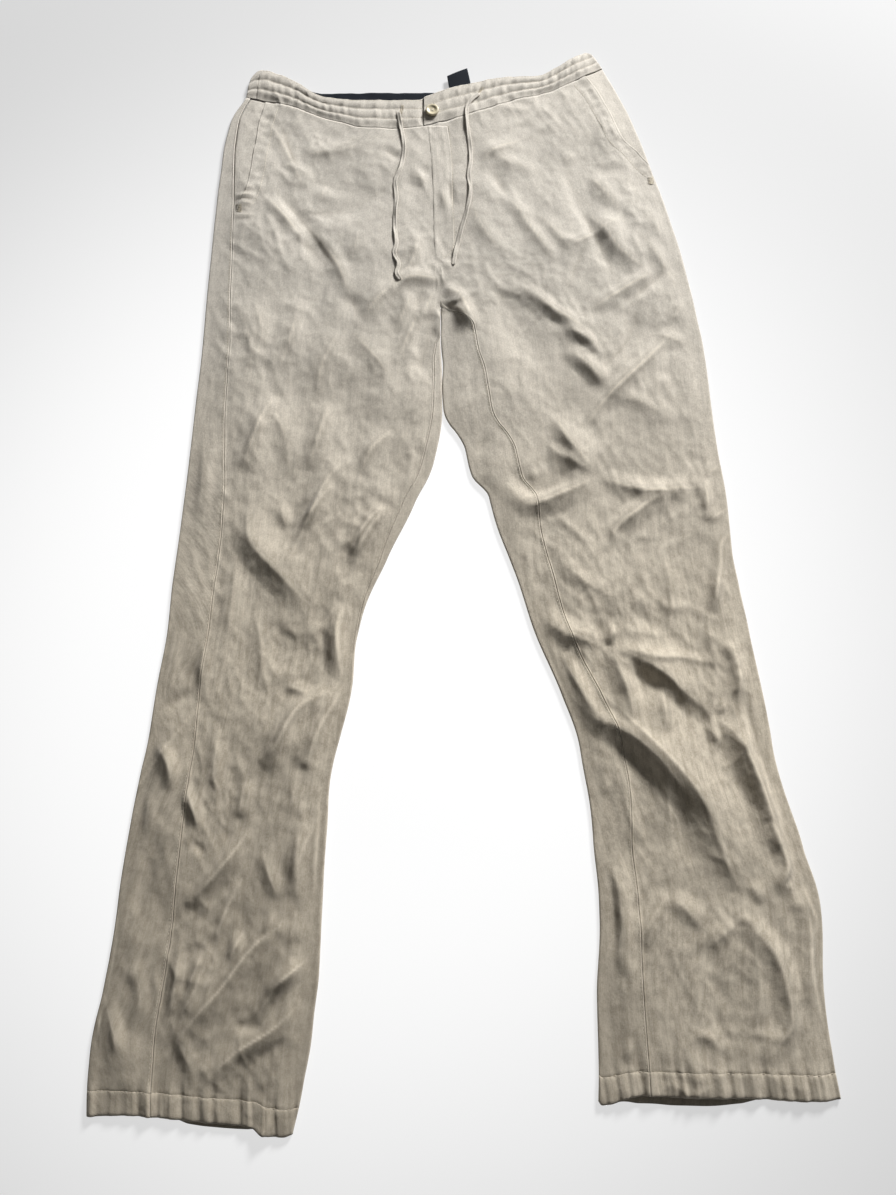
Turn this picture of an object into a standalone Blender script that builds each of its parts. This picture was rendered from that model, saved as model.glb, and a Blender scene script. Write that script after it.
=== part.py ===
"""Cotton trousers laid flat on their back: drawstring waist, button fly, slanted pockets and turned-up hems.

Sizes are in millimetres. +X is the wearer's left, +Y runs towards the waist and +Z is up.
The cloth is a wall of even thickness. Each piece is a stretch of a flattened tube, whose sections are tabled below.
A place on a section is the distance round the cloth from its outer edge, across the top, to the inner edge and beneath.
"""

import math
from collections import namedtuple

import bmesh
import bpy
import numpy as np
from mathutils import Vector
from mathutils.bvhtree import BVHTree

MM = 0.001

CLOTH = 1.2
BAND_CLOTH = 2.2
BACK_BAND_CLOTH = 1.8
HEM_CLOTH = 1.9
LIGHT_CLOTH = 0.8
GAP = 0.3
BAND_GAP = 0.6

EDGE_RADIUS = 3.0
EDGE_TURN = math.pi * EDGE_RADIUS
TOP_LEVEL = 2 * EDGE_RADIUS
LEAST_STEP = 0.35
PUFF = 1.4
FOLD_FADE = 16.0
FOLD_TAPER = 0.8
HIP_ROWS = 5
LEG_ROWS = 20
EDGE_STEPS = 4

HEM_DEPTH = 21.0
HEM_PUCKER = 0.7
HEM_PUCKER_SPACING = 17.0

CHANNELS = 3
CHANNEL_CROWN = 0.9
BAND_LIFT = 0.8
GATHER_SPACING = 14.0
GATHER_DEPTH = 0.5
BACK_RISE = 8.0
BACK_RISE_PLACE = 0.33
BACK_RISE_REACH = 0.15
BAND_STATIONS = 49
BAND_SIDE_SEAM = 13.0
BAND_UNDER_SEAM = -9.0
BAND_FRONT_END = -40.5
BAND_TAB_LIFT = 2.9
BAND_TAB_LENGTH = 34.0
BAND_TAB_FADE = 14.0
BAND_UNDERLAP = 18.0
BAND_ROWS = 2 * CHANNELS + 1

SINK_OF_POCKET = 0.8
WAIST_CURVE_REACH = 190.0
BACK_CURVE_SHARE = 0.3
CROTCH_STEP = 12.0
CROTCH_GAP = 5.4
FACING_SPAN = (0.08, 0.92)
FACING_EDGES = (0.5, 0.97)
FACING_STEPS = 19
LABEL_STEPS = 3
FLY_STEPS = (12, 3)
FLY_REACH = 5.0

BUTTON_RADIUS = 7.3
BUTTON_HEIGHT = 3.0
BUTTON_PLACE = (-31.0, 476.5)
BUTTON_HOLE_RADIUS = 0.9
BUTTON_HOLE_SPREAD = 1.6

TAPE_WIDTH = 5.5
TAPE_THICKNESS = 1.4
TAPE_POINTS = 18
RESTING_GAP = 0.5

Section = namedtuple("Section", "out_x out_y in_x in_y out_seam in_seam")
Leg = namedtuple("Leg", "side sections pocket crotch front_steps back_steps hem_front_steps hem_back_steps")
Fold = namedtuple("Fold", "start_x start_y end_x end_y bend width rise")
BandSection = namedtuple("BandSection", "top_x top_y low_x")

# Each seam is its distance round the cloth from that edge, and is negative where it lies beneath.
RIGHT_SECTIONS = (
    Section(-239.5, 495, -21.5, 462, 6, 0),
    Section(-256.5, 456, -21.5, 426, 11, 0),
    Section(-262.5, 401, -21.5, 376, 16, 0),
    Section(-265.5, 349, -21.5, 329, 21, 0),
    Section(-267.5, 296, -21.5, 283, 24, 0),
    Section(-269.5, 239, -21.5, 233, 27, 9),
    Section(-270.5, 193, -21.5, 193, 30, 9),
    Section(-273.5, 133, -21.5, 136, 32, 10),
    Section(-276.5, 71, -27.5, 71, 37, 13),
    Section(-279.5, 19, -44.5, 19, 42, 13),
    Section(-283.5, -39, -73.5, -39, 43, 8),
    Section(-289.5, -109, -99.5, -113, 42, 2),
    Section(-298.5, -197, -112.5, -203, 45, -6),
    Section(-307.5, -284, -125.5, -291, 50, -15),
    Section(-315.5, -364, -128.5, -374, 53, -22),
    Section(-326.5, -441, -130.5, -451, 54, -28),
    Section(-331.5, -504, -138.5, -517, 58, -31),
    Section(-329.5, -543, -146.5, -557, 58, -32),
)
LEFT_SECTIONS = (
    Section(160.5, 533, -21.5, 462, -9, 0),
    Section(177.5, 497, -21.5, 421, -10, 0),
    Section(194.5, 453, -21.5, 376, -11, 0),
    Section(210.5, 399, -21.5, 329, -12, 0),
    Section(226.5, 341, -21.5, 283, -14, 4),
    Section(242.5, 266, -21.5, 251, -16, 18),
    Section(249.5, 221, -21.5, 221, -17, 33),
    Section(254.5, 183, -21.5, 183, -18, 40),
    Section(258.0, 126, -19.5, 126, -20, 50),
    Section(261.5, 76, 2.5, 76, -21, 52),
    Section(267.5, 19, 24.5, 19, -22, 48),
    Section(269.5, -39, 49.5, -39, -23, 39),
    Section(279.5, -109, 70.5, -111, -24, 35),
    Section(289.5, -174, 93.5, -174, -25, 38),
    Section(299.5, -244, 112.5, -242, -26, 41),
    Section(316.5, -317, 122.5, -315, -28, 36),
    Section(330.5, -379, 126.5, -379, -29, 37),
    Section(326.5, -441, 121.5, -443, -30, 42),
    Section(328.5, -494, 120.5, -495, -30, 44),
    Section(331.5, -529, 118.5, -531, -30, 46),
)

# A pocket's opening: distance down the outer edge, and distance round the cloth from that edge.
RIGHT_POCKET = ((0, 23), (36, 32), (72, 34), (108, 33), (144, 24))
LEFT_POCKET = ((0, 21), (38, 19), (76, 19), (114, 8), (152, -9))

# The seam under the waistband, from the wearer's right to left.
WAIST_SEAM = (
    (-239.5, 495),
    (-223, 491),
    (-200, 486),
    (-168, 474),
    (-130, 461),
    (-98, 454),
    (-56, 455),
    (-21.5, 462),
    (20, 474),
    (62, 490),
    (92, 499),
    (124, 513),
    (160.5, 533),
)

# The waistband's upper edge, and where each section meets the seam under it.
BAND_SECTIONS = (
    BandSection(-225.5, 530, -239.5),
    BandSection(-181.5, 512, -186),
    BandSection(-143.5, 493, -144.5),
    BandSection(-95.5, 490, -97),
    BandSection(-55.5, 490, -55.5),
    BandSection(-36.5, 495, -32),
    BandSection(-11.5, 505, -9),
    BandSection(12.5, 511, 18),
    BandSection(58.5, 520, 63),
    BandSection(80, 521, 88),
    BandSection(106.5, 532, 110),
    BandSection(127.5, 546, 134),
    BandSection(146.5, 557, 160.5),
)

# The largest folds. A fold with a negative rise is a trough.
FOLDS = (
    Fold(120, -157, 250, -352, 15, 17, 7.0),
    Fold(131, -198, 198, -353, 7, 22, -1.5),
    Fold(146, -132, 241, -191, 3, 13, 3.5),
    Fold(254, -211, 296, -326, 6, 13, 4.5),
    Fold(141, -127, 166, -198, 2, 10, 4.0),
    Fold(46, 34, 122, 40, -19, 15, 3.0),
    Fold(155, -19, 204, 30, 0, 13, 3.0),
    Fold(155, -34, 223, -2, 0, 14, -1.5),
    Fold(245, -92, 267, -15, 5, 13, 4.0),
    Fold(230, -309, 291, -461, 6, 15, 5.0),
    Fold(291, -461, 262, -502, 3, 12, 3.5),
    Fold(138, -325, 141, -428, 4, 12, 2.5),
    Fold(-191, 135, -217, 49, -5, 15, 3.5),
    Fold(-214, 18, -148, -90, -14, 15, 3.5),
    Fold(-111, 64, -172, -52, -11, 13, 3.0),
    Fold(-77, 18, -112, -35, -3, 13, 2.5),
    Fold(-118, -142, -187, -247, -2, 15, 4.0),
    Fold(-256, -258, -240, -320, 1, 11, 2.5),
    Fold(-194, -293, -252, -369, 2, 12, 3.5),
    Fold(-149, -374, -262, -494, -4, 15, 4.0),
    Fold(-143, -449, -221, -514, -2, 13, 3.5),
    Fold(-214, 367, -141, 283, -2, 16, -1.5),
    Fold(-103, 222, -70, 263, 0, 12, 3.5),
    Fold(112, 397, 165, 273, -2, 15, -1.5),
    Fold(134, 354, 205, 283, -12, 14, 3.0),
    Fold(136, 312, 108, 242, 0, 13, 2.5),
    Fold(191, 290, 147, 243, 0, 13, 2.5),
    Fold(222, 220, 143, 140, 0, 14, 3.0),
    Fold(-171, 347, -76, 384, -16, 15, 1.5),
)

# The fly's overlap, from the band down: height, left edge and right edge.
FLY_ROWS = (
    (456.5, -36.5, -14.5),
    (440.0, -35.0, -12.0),
    (404.0, -31.5, -9.5),
    (357.0, -30.0, -8.5),
    (318.0, -29.0, -7.0),
    (301.0, -28.0, -8.0),
    (289.0, -25.0, -13.0),
)

RIGHT_TAPE = (
    (-69.0, 474.0),
    (-66.0, 458.0),
    (-63.0, 442.0),
    (-61.8, 425.0),
    (-65.0, 404.0),
    (-71.0, 388.0),
    (-69.5, 366.0),
    (-70.7, 347.0),
    (-70.5, 329.0),
    (-68.7, 310.0),
    (-71.0, 298.0),
    (-66.0, 286.0),
    (-68.0, 274.0),
    (-63.5, 264.0),
)
LEFT_TAPE = (
    (22.0, 496.5),
    (14.5, 490.0),
    (8.0, 480.0),
    (7.5, 462.0),
    (10.5, 434.0),
    (11.5, 413.0),
    (9.0, 393.0),
    (11.0, 375.0),
    (7.0, 351.0),
    (1.8, 332.0),
    (-2.5, 314.0),
    (-5.5, 301.0),
    (-8.0, 284.0),
)

LABEL_CORNERS = ((-11.0, 497.0), (-14.6, 522.5), (8.0, 533.0), (13.5, 504.0))

OATMEAL = (0.53, 0.47, 0.38)
OATMEAL_LIGHT = (0.62, 0.57, 0.48)
NAVY = (0.012, 0.018, 0.030)
CREAM = (0.70, 0.64, 0.49)


def smooth_curve(table, at):
    """Reads a smooth curve, with no overshoot, through a table whose first column rises."""
    table = np.asarray(table, float)
    known = table[:, 0]
    values = table[:, 1:]
    secants = np.diff(values, axis=0) / np.diff(known)[:, None]
    product = secants[:-1] * secants[1:]
    total = secants[:-1] + secants[1:]
    between = np.where(product > 0, 2 * product / np.where(product > 0, total, 1), 0)
    slopes = np.concatenate([secants[:1], between, secants[-1:]])
    index = np.clip(np.searchsorted(known, at) - 1, 0, len(known) - 2)
    step = known[index + 1] - known[index]
    part = np.clip((at - known[index]) / step, 0, 1)[..., None]
    step = step[..., None]
    before = values[index] + slopes[index] * step * part
    after = values[index + 1] - slopes[index + 1] * step * (1 - part)
    blend = part * part * (3 - 2 * part)
    return before * (1 - blend) + after * blend


def waist_seam(x):
    """Height of the seam under the waistband."""
    return smooth_curve(WAIST_SEAM, np.asarray(x, float))[..., 0]


def waist_dip(top, x):
    """How far the waist's seam dips below a straight line across one half of the garment."""
    inside = np.clip(x, min(top.out_x, top.in_x), max(top.out_x, top.in_x))
    straight = top.out_y + (top.in_y - top.out_y) * (inside - top.out_x) / (top.in_x - top.out_x)
    return waist_seam(inside) - straight


def back_waist_seam(x):
    """The back's seam under the waistband is nearly straight on each half."""
    right, left = RIGHT_SECTIONS[0], LEFT_SECTIONS[0]
    dip = np.where(x < right.in_x, waist_dip(right, x), waist_dip(left, x))
    return waist_seam(x) - (1 - BACK_CURVE_SHARE) * dip


def relief(x, y):
    """Lift of the cloth by its folds."""
    lift = np.zeros(np.shape(x))
    for fold in FOLDS:
        along_x = fold.end_x - fold.start_x
        along_y = fold.end_y - fold.start_y
        length = math.hypot(along_x, along_y)
        part = ((x - fold.start_x) * along_x + (y - fold.start_y) * along_y) / length**2
        part = np.clip(part, 0, 1)
        aside = ((y - fold.start_y) * along_x - (x - fold.start_x) * along_y) / length
        aside = aside - fold.bend * 4 * part * (1 - part)
        lift += fold.rise * np.sin(math.pi * part) ** FOLD_TAPER * np.exp(-((aside / fold.width) ** 2))
    return lift


def leg_tables(leg):
    """Distance down the outer edge, and each section's values beside it."""
    sections = np.asarray(leg.sections, float)
    steps = np.hypot(*np.diff(sections[:, :2], axis=0).T)
    down = np.concatenate([[0], np.cumsum(steps)])
    return np.column_stack([down, sections])


def leg_length(leg):
    return leg_tables(leg)[-1, 0]


def leg_rows(leg):
    """Heights of the panels' rows, as distances down the outer edge. Rows lie on the pocket's end and on the crotch."""
    pocket_end = leg.pocket[-1][0]
    top = np.linspace(0, pocket_end, len(leg.pocket))
    hip = np.linspace(pocket_end, leg.crotch, HIP_ROWS)
    below = np.linspace(leg.crotch + CROTCH_STEP, leg_length(leg) - HEM_DEPTH, LEG_ROWS)
    return np.concatenate([top, hip[1:], below])


class Course:
    """One row of cloth across the part, from its outer edge to its inner one, and how far the cloth goes round it."""

    def __init__(self, point_at, length, closed=True):
        self.point_at = point_at
        self.length = length
        self.inner_reach = EDGE_RADIUS if closed else 0.0
        self.flat = length - EDGE_RADIUS - self.inner_reach
        self.tip = EDGE_TURN + self.flat
        self.round = 2 * self.tip

    def unroll(self, place):
        """Distance across and height of a place on the section."""
        half = EDGE_TURN / 2
        place = np.where(place > self.round - half, place - self.round, place)
        place = np.where(place < -half - self.flat, place + self.round, place)
        turn = np.clip(place, -half, half) / EDGE_RADIUS
        far_turn = np.clip(place - half - self.flat, 0, EDGE_TURN) / EDGE_RADIUS
        over = np.clip(place - half, 0, self.flat)
        beneath = np.clip(place - 3 * half - self.flat, 0, self.flat)
        under = np.clip(-half - place, 0, self.flat)
        across = EDGE_RADIUS * (1 - np.cos(turn)) + over + self.inner_reach * np.sin(far_turn) - beneath + under
        height = EDGE_RADIUS * (1 + np.sin(turn)) + EDGE_RADIUS * (np.cos(far_turn) - 1)
        return across, height

    def surface(self, place, lift):
        """Points of the cloth's outer face at the given places. The lift leaves the underside flat."""
        across, height = self.unroll(place)
        x, y = self.point_at(across / self.length, height / TOP_LEVEL)
        edge = np.clip((across - EDGE_RADIUS) / FOLD_FADE, 0, 1)
        if self.inner_reach:
            edge = edge * np.clip((self.length - across - EDGE_RADIUS) / FOLD_FADE, 0, 1)
        edge = edge * edge * (3 - 2 * edge)
        height = height * (1 + edge * lift(x, y, across) / TOP_LEVEL)
        return np.column_stack([x, y, height])


def leg_course(leg, down):
    """The section of a leg at a distance down its outer edge."""
    table = leg_tables(leg)
    out_x, out_y, in_x, in_y, out_seam, in_seam = smooth_curve(table, np.array([down]))[0]
    toward = math.copysign(1, in_x - out_x)
    in_x = in_x - toward * GAP / 2
    top = leg.sections[0]
    curve = np.clip(1 - down / WAIST_CURVE_REACH, 0, 1) ** 2

    def point_at(part, level):
        x = out_x + (in_x - out_x) * part
        share = BACK_CURVE_SHARE + (1 - BACK_CURVE_SHARE) * level
        return x, out_y + (in_y - out_y) * part + curve * share * waist_dip(top, x)

    course = Course(point_at, abs(in_x - out_x), closed=down > leg.crotch + CROTCH_STEP / 2)
    course.out_seam = out_seam
    if down < leg.crotch - 1:
        course.front_end = course.tip - EDGE_TURN / 2
        course.back_start = course.tip + EDGE_TURN / 2
    elif down < leg.crotch + 1:
        course.front_end = course.tip - EDGE_TURN / 2
        course.back_start = course.front_end + CROTCH_GAP
    else:
        course.front_end = course.tip - in_seam - GAP / 2
        course.back_start = course.front_end + GAP
    return course


def cloth_lift(x, y, across):
    """Lift of a panel's top above its edges."""
    return PUFF + relief(x, y)


def pocket_opening(leg, down):
    """Place of the pocket's edge at one height, or none below the pocket."""
    if down > leg.pocket[-1][0] + 1:
        return None
    return float(smooth_curve(leg.pocket, np.array([down]))[0, 0])


def column_places(start, stops, end, steps):
    """Places across a panel, with a fixed number of steps in each stretch, even where a stretch has no room."""
    bounds = [start]
    for number, stop in enumerate(stops, 1):
        low = start + LEAST_STEP * sum(steps[:number])
        high = end - LEAST_STEP * sum(steps[number:])
        bounds.append(min(max(stop, low), high))
    bounds.append(end)
    places = [np.linspace(a, b, count + 1)[:-1] for a, b, count in zip(bounds, bounds[1:], steps)]
    return np.concatenate(places + [[end]])


def face_normals(grid):
    """Unit normals of a grid of points, with its rows running down and its columns across."""
    down = np.gradient(grid, axis=0)
    across = np.gradient(grid, axis=1)
    normals = np.cross(down, across)
    return normals / np.linalg.norm(normals, axis=2, keepdims=True)


def inside_of(grid, thickness, toward):
    """The cloth's inner face. A flat underside keeps its level."""
    inner = grid - face_normals(grid) * thickness * toward
    return inner


def material(name, colour, roughness=0.9):
    made = bpy.data.materials.new(name)
    made.use_nodes = True
    shader = made.node_tree.nodes["Principled BSDF"]
    shader.inputs["Base Color"].default_value = (*colour, 1.0)
    shader.inputs["Roughness"].default_value = roughness
    shader.inputs["Metallic"].default_value = 0.0
    return made


def add_object(name, data, colour, roughness=0.9):
    made = bpy.data.objects.new(name, data)
    bpy.context.scene.collection.objects.link(made)
    data.materials.append(material(name + "_finish", colour, roughness))
    return made


def finish_mesh(mesh_in_progress, name, colour, roughness=0.9, smooth_angle=40.0):
    """Turns the faces outwards and makes the object."""
    bmesh.ops.recalc_face_normals(mesh_in_progress, faces=mesh_in_progress.faces)
    mesh = bpy.data.meshes.new(name)
    mesh_in_progress.to_mesh(mesh)
    mesh_in_progress.free()
    mesh.shade_smooth()
    mesh.set_sharp_from_angle(angle=math.radians(smooth_angle))
    return add_object(name, mesh, colour, roughness)


def wall(name, outer, inner, colour):
    """A wall of cloth between two grids of points. Both are cut into the same triangles, so its thickness is even."""
    rows, columns = outer.shape[:2]
    made = bmesh.new()
    bmesh.ops.create_grid(made, x_segments=columns - 1, y_segments=rows - 1, size=1)
    made.verts.ensure_lookup_table()
    number = made.verts.layers.int.new("number")
    outer_points = outer.reshape(-1, 3) * MM
    inner_points = inner.reshape(-1, 3) * MM
    for index, vertex in enumerate(made.verts):
        vertex[number] = index
        vertex.co = outer_points[index]
    bmesh.ops.triangulate(made, faces=made.faces)
    grown = bmesh.ops.extrude_face_region(made, geom=made.faces[:])
    for item in grown["geom"]:
        if isinstance(item, bmesh.types.BMVert):
            item.co = inner_points[item[number]]
    return finish_mesh(made, name, colour)


def front_grid(leg, rows):
    """Outer face of a front panel, from its pocket or outseam to the centre or inseam."""
    half = EDGE_TURN / 2
    lines = []
    for down in rows:
        course = leg_course(leg, down)
        opening = pocket_opening(leg, down)
        start = course.out_seam if opening is None else opening
        stops = (course.tip - half, course.tip + half) if leg.side == "right" else (-half, half)
        places = column_places(start + GAP / 2, stops, course.front_end, leg.front_steps)
        lines.append(course.surface(places, cloth_lift))
    return np.array(lines)


def back_grid(leg, rows):
    """Outer face of a back panel, from the inseam or the centre, beneath, and up to the outseam."""
    half = EDGE_TURN / 2
    lines = []
    for down in rows:
        course = leg_course(leg, down)
        end = course.round + course.out_seam - GAP / 2
        stops = (course.tip - half, course.tip + half, course.round - half, course.round + half)
        stops = stops[: len(leg.back_steps) - 1]
        places = column_places(course.back_start, stops, end, leg.back_steps)
        lines.append(course.surface(places, cloth_lift))
    return np.array(lines)


def toward_of(leg):
    """Which way a grid's normals point, since the left leg's sections run the other way."""
    return 1 if leg.side == "right" else -1


def add_panels(leg):
    rows = leg_rows(leg)
    toward = toward_of(leg)
    front = front_grid(leg, rows)
    back = back_grid(leg, rows)
    wall("front_" + leg.side, front, inside_of(front, CLOTH, toward), OATMEAL)
    wall("back_" + leg.side, back, inside_of(back, CLOTH, toward), OATMEAL)


def add_pocket_facing(leg):
    """The cloth that shows behind a pocket's edge, a little lower than the panels on its two sides."""
    half = EDGE_TURN / 2
    lines = []
    for down, _ in leg.pocket:
        course = leg_course(leg, down)
        opening = pocket_opening(leg, down)
        start = course.out_seam + GAP / 2
        end = opening - GAP / 2
        if leg.side == "right":
            places = column_places(start, (), end, (3,))
        else:
            places = column_places(start, (-half, half), end, (1, EDGE_STEPS, 2))
        lines.append(course.surface(places, cloth_lift))
    grid = np.array(lines)
    toward = toward_of(leg)
    sink = SINK_OF_POCKET if leg.side == "right" else 0.0
    outer = inside_of(grid, sink, toward)
    inner = inside_of(grid, CLOTH + sink, toward)
    wall("pocket_facing_" + leg.side, outer, inner, OATMEAL)


def hem_lift(x, y, across):
    """The stitched fold of a hem puckers."""
    pucker = HEM_PUCKER * np.sin(2 * math.pi * across / HEM_PUCKER_SPACING)
    return cloth_lift(x, y, across) + pucker


def add_hem(leg, part):
    """The turned-up hem of one panel, of doubled cloth."""
    half = EDGE_TURN / 2
    length = leg_length(leg)
    outer = []
    plain = []
    for down in np.linspace(length - HEM_DEPTH + GAP, length, 3):
        course = leg_course(leg, down)
        if part == "front":
            ends = (course.out_seam + GAP / 2, course.front_end)
            stops = (course.tip - half, course.tip + half) if leg.side == "right" else (-half, half)
            steps = leg.hem_front_steps
        else:
            ends = (course.back_start, course.round + course.out_seam - GAP / 2)
            turn = course.round if leg.side == "right" else course.tip
            stops = (turn - half, turn + half)
            steps = leg.hem_back_steps
        places = column_places(ends[0], stops, ends[1], steps)
        outer.append(course.surface(places, hem_lift))
        plain.append(course.surface(places, cloth_lift))
    inner = inside_of(np.array(plain), HEM_CLOTH, toward_of(leg))
    wall(f"hem_{part}_{leg.side}", np.array(outer), inner, OATMEAL)


def band_line(part, seam, rise):
    """Points along the waistband, from its share of the length: part 0 is its lower edge and 1 its upper one."""
    known = np.column_stack([np.linspace(0, 1, len(BAND_SECTIONS)), np.asarray(BAND_SECTIONS, float)])
    stations = np.linspace(0, 1, BAND_STATIONS)
    top_x, top_y, low_x = smooth_curve(known, stations).T
    top_y = top_y + rise * np.exp(-(((stations - BACK_RISE_PLACE) / BACK_RISE_REACH) ** 2))
    low = np.column_stack([low_x, seam(low_x) + BAND_GAP])
    line = low + (np.column_stack([top_x, top_y]) - low) * part
    along = np.concatenate([[0], np.cumsum(np.hypot(*np.diff(line, axis=0).T))])
    return np.column_stack([along / along[-1], line]), along[-1]


def band_course(part, rise=0.0):
    """A section along the waistband, from the wearer's right side to left."""
    upper, length = band_line(part, waist_seam, rise)
    lower, _ = band_line(part, back_waist_seam, rise)

    def point_at(place, level):
        share = np.clip(place, 0, 1)
        level = np.clip(level, 0, 1)[..., None]
        points = smooth_curve(lower, share) * (1 - level) + smooth_curve(upper, share) * level
        return points[..., 0], points[..., 1]

    return Course(point_at, length)


def place_over(course, x):
    """The place on a section's top that lies at a given x."""
    share = np.linspace(0, 1, 400)
    known, _ = course.point_at(share, np.ones(400))
    across = np.interp(x, known, share) * course.length
    return across - EDGE_RADIUS + EDGE_TURN / 2


def band_profile(part):
    """The stitched channels stand up between their rows of stitching."""
    return CHANNEL_CROWN * np.abs(math.sin(math.pi * CHANNELS * part))


def add_front_band(side, steps):
    """One half of the front waistband. Its outer face is gathered, and its inner face is plain."""
    outer = []
    inner = []
    for part in np.linspace(0, 1, BAND_ROWS):
        course = band_course(part)
        front_end = place_over(course, BAND_FRONT_END)
        if side == "right":
            places = column_places(BAND_SIDE_SEAM, (), front_end + BAND_UNDERLAP, (steps,))
        else:
            stops = (course.tip - EDGE_TURN / 2, course.tip + EDGE_TURN / 2)
            places = column_places(front_end, stops, course.tip - BAND_UNDER_SEAM, (steps, EDGE_STEPS, 2))

        def tab_lift(across):
            """The tab with the button lies over the other half."""
            fade = np.clip((front_end + BAND_TAB_LENGTH - across) / BAND_TAB_FADE, 0, 1)
            return BAND_TAB_LIFT * fade if side == "left" else 0.0

        def gathered(x, y, across):
            wave = GATHER_DEPTH * np.sin(2 * math.pi * across / GATHER_SPACING)
            return BAND_LIFT + band_profile(part) * (1 + wave) + tab_lift(across)

        def plain(x, y, across):
            return BAND_LIFT + tab_lift(across)

        outer.append(course.surface(places, gathered))
        inner.append(course.surface(places, plain))
    inner = inside_of(np.array(inner), BAND_CLOTH - BAND_LIFT, -1)
    wall("waistband_front_" + side, np.array(outer), inner, OATMEAL_LIGHT)


def add_back_band():
    """The back waistband lies beneath and turns up over the side on the wearer's right."""
    half = EDGE_TURN / 2
    lines = []
    for part in np.linspace(0, 1, BAND_ROWS):
        course = band_course(part, BACK_RISE)
        start = course.tip - BAND_UNDER_SEAM + GAP
        end = course.round + BAND_SIDE_SEAM - GAP
        places = column_places(start, (course.round - half, course.round + half), end, (14, EDGE_STEPS, 2))

        def crowned(x, y, across):
            return BAND_LIFT + band_profile(part)

        lines.append(course.surface(places, crowned))
    grid = np.array(lines)
    wall("waistband_back", grid, inside_of(grid, BACK_BAND_CLOTH, -1), OATMEAL_LIGHT)


def add_back_facing():
    """The dark strip inside the back waistband shows above the front one."""
    level = BACK_BAND_CLOTH + GAP
    lines = []
    for part in FACING_EDGES:
        course = band_course(part, BACK_RISE)
        share = np.linspace(*FACING_SPAN, FACING_STEPS + 1)
        x, y = course.point_at(share, np.zeros(len(share)))
        lines.append(np.column_stack([x, y, np.full(len(x), level)]))
    under = np.array(lines)
    over = under + (0, 0, LIGHT_CLOTH)
    wall("back_facing", over, under, NAVY)


def add_label():
    """A bare folded tab held between the facing and the front, standing out beyond the waist's edge."""
    level = BACK_BAND_CLOTH + GAP + LIGHT_CLOTH + GAP
    low_left, top_left, top_right, low_right = (np.array(corner) for corner in LABEL_CORNERS)
    lines = []
    for up in np.linspace(0, 1, LABEL_STEPS + 1):
        left = low_left + (top_left - low_left) * up
        right = low_right + (top_right - low_right) * up
        points = [left + (right - left) * part for part in np.linspace(0, 1, LABEL_STEPS + 1)]
        lines.append([(x, y, level) for x, y in points])
    under = np.array(lines)
    wall("label", under + (0, 0, LIGHT_CLOTH), under, NAVY)


def cloth_tree(names):
    """The listed pieces as one search tree, for finding the cloth's height."""
    made = bmesh.new()
    for name in names:
        made.from_mesh(bpy.data.objects[name].data)
    tree = BVHTree.FromBMesh(made)
    made.free()
    return tree


def resting_level(tree, x, y, reach):
    """The highest point of the cloth within a short reach of a place."""
    best = 0.0
    for aside in (-reach, 0, reach):
        for along in (-reach, 0, reach):
            start = Vector(((x + aside) * MM, (y + along) * MM, 0.1))
            hit = tree.ray_cast(start, Vector((0, 0, -1)))[0]
            if hit is not None:
                best = max(best, hit.z / MM)
    return best


def add_fly():
    """The fly's overlap lies on both fronts."""
    tree = cloth_tree(("front_right", "front_left"))
    table = np.asarray(FLY_ROWS)[::-1]
    lines = []
    for height in np.linspace(table[-1, 0], table[0, 0], FLY_STEPS[0] + 1):
        left, right = smooth_curve(table, np.array([height]))[0]
        line = []
        for x in np.linspace(left, right, FLY_STEPS[1] + 1):
            line.append((x, height, resting_level(tree, x, height, FLY_REACH) + GAP))
        lines.append(line)
    under = np.array(lines)
    wall("fly_overlap", under + (0, 0, CLOTH), under, OATMEAL_LIGHT)


def add_button():
    """A round button with a raised rim, a hollow middle and four holes."""
    tree = cloth_tree(("waistband_front_left",))
    level = resting_level(tree, *BUTTON_PLACE, BUTTON_RADIUS) + RESTING_GAP
    profile = (
        (0.0, 0.0),
        (0.72, 0.0),
        (0.96, 0.28),
        (1.0, 0.55),
        (0.94, 0.92),
        (0.80, 1.0),
        (0.62, 0.84),
        (0.50, 0.58),
        (0.0, 0.52),
    )
    made = bmesh.new()
    points = [(BUTTON_RADIUS * r * MM, 0, BUTTON_HEIGHT * z * MM) for r, z in profile]
    rim = [made.verts.new(point) for point in points]
    edges = [made.edges.new(pair) for pair in zip(rim, rim[1:])]
    bmesh.ops.spin(
        made, geom=rim + edges, cent=(0, 0, 0), axis=(0, 0, 1), angle=2 * math.pi, steps=18, use_merge=True
    )
    bmesh.ops.remove_doubles(made, verts=made.verts, dist=1e-6)
    button = finish_mesh(made, "button", CREAM, roughness=0.35)
    button.location = (BUTTON_PLACE[0] * MM, BUTTON_PLACE[1] * MM, level * MM)
    for turn in range(4):
        angle = math.pi / 4 + turn * math.pi / 2
        reach = BUTTON_HOLE_SPREAD * MM
        drill = bmesh.new()
        bmesh.ops.create_cone(
            drill,
            cap_ends=True,
            segments=8,
            radius1=BUTTON_HOLE_RADIUS * MM,
            radius2=BUTTON_HOLE_RADIUS * MM,
            depth=4 * BUTTON_HEIGHT * MM,
        )
        cutter = finish_mesh(drill, f"button_hole_{turn + 1}", CREAM)
        cutter.location = button.location + Vector((reach * math.cos(angle), reach * math.sin(angle), 0))
        cutter.hide_render = True
        cutter.display_type = "WIRE"
        cut = button.modifiers.new(cutter.name, "BOOLEAN")
        cut.object = cutter
        cut.operation = "DIFFERENCE"
        cut.solver = "EXACT"


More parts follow.
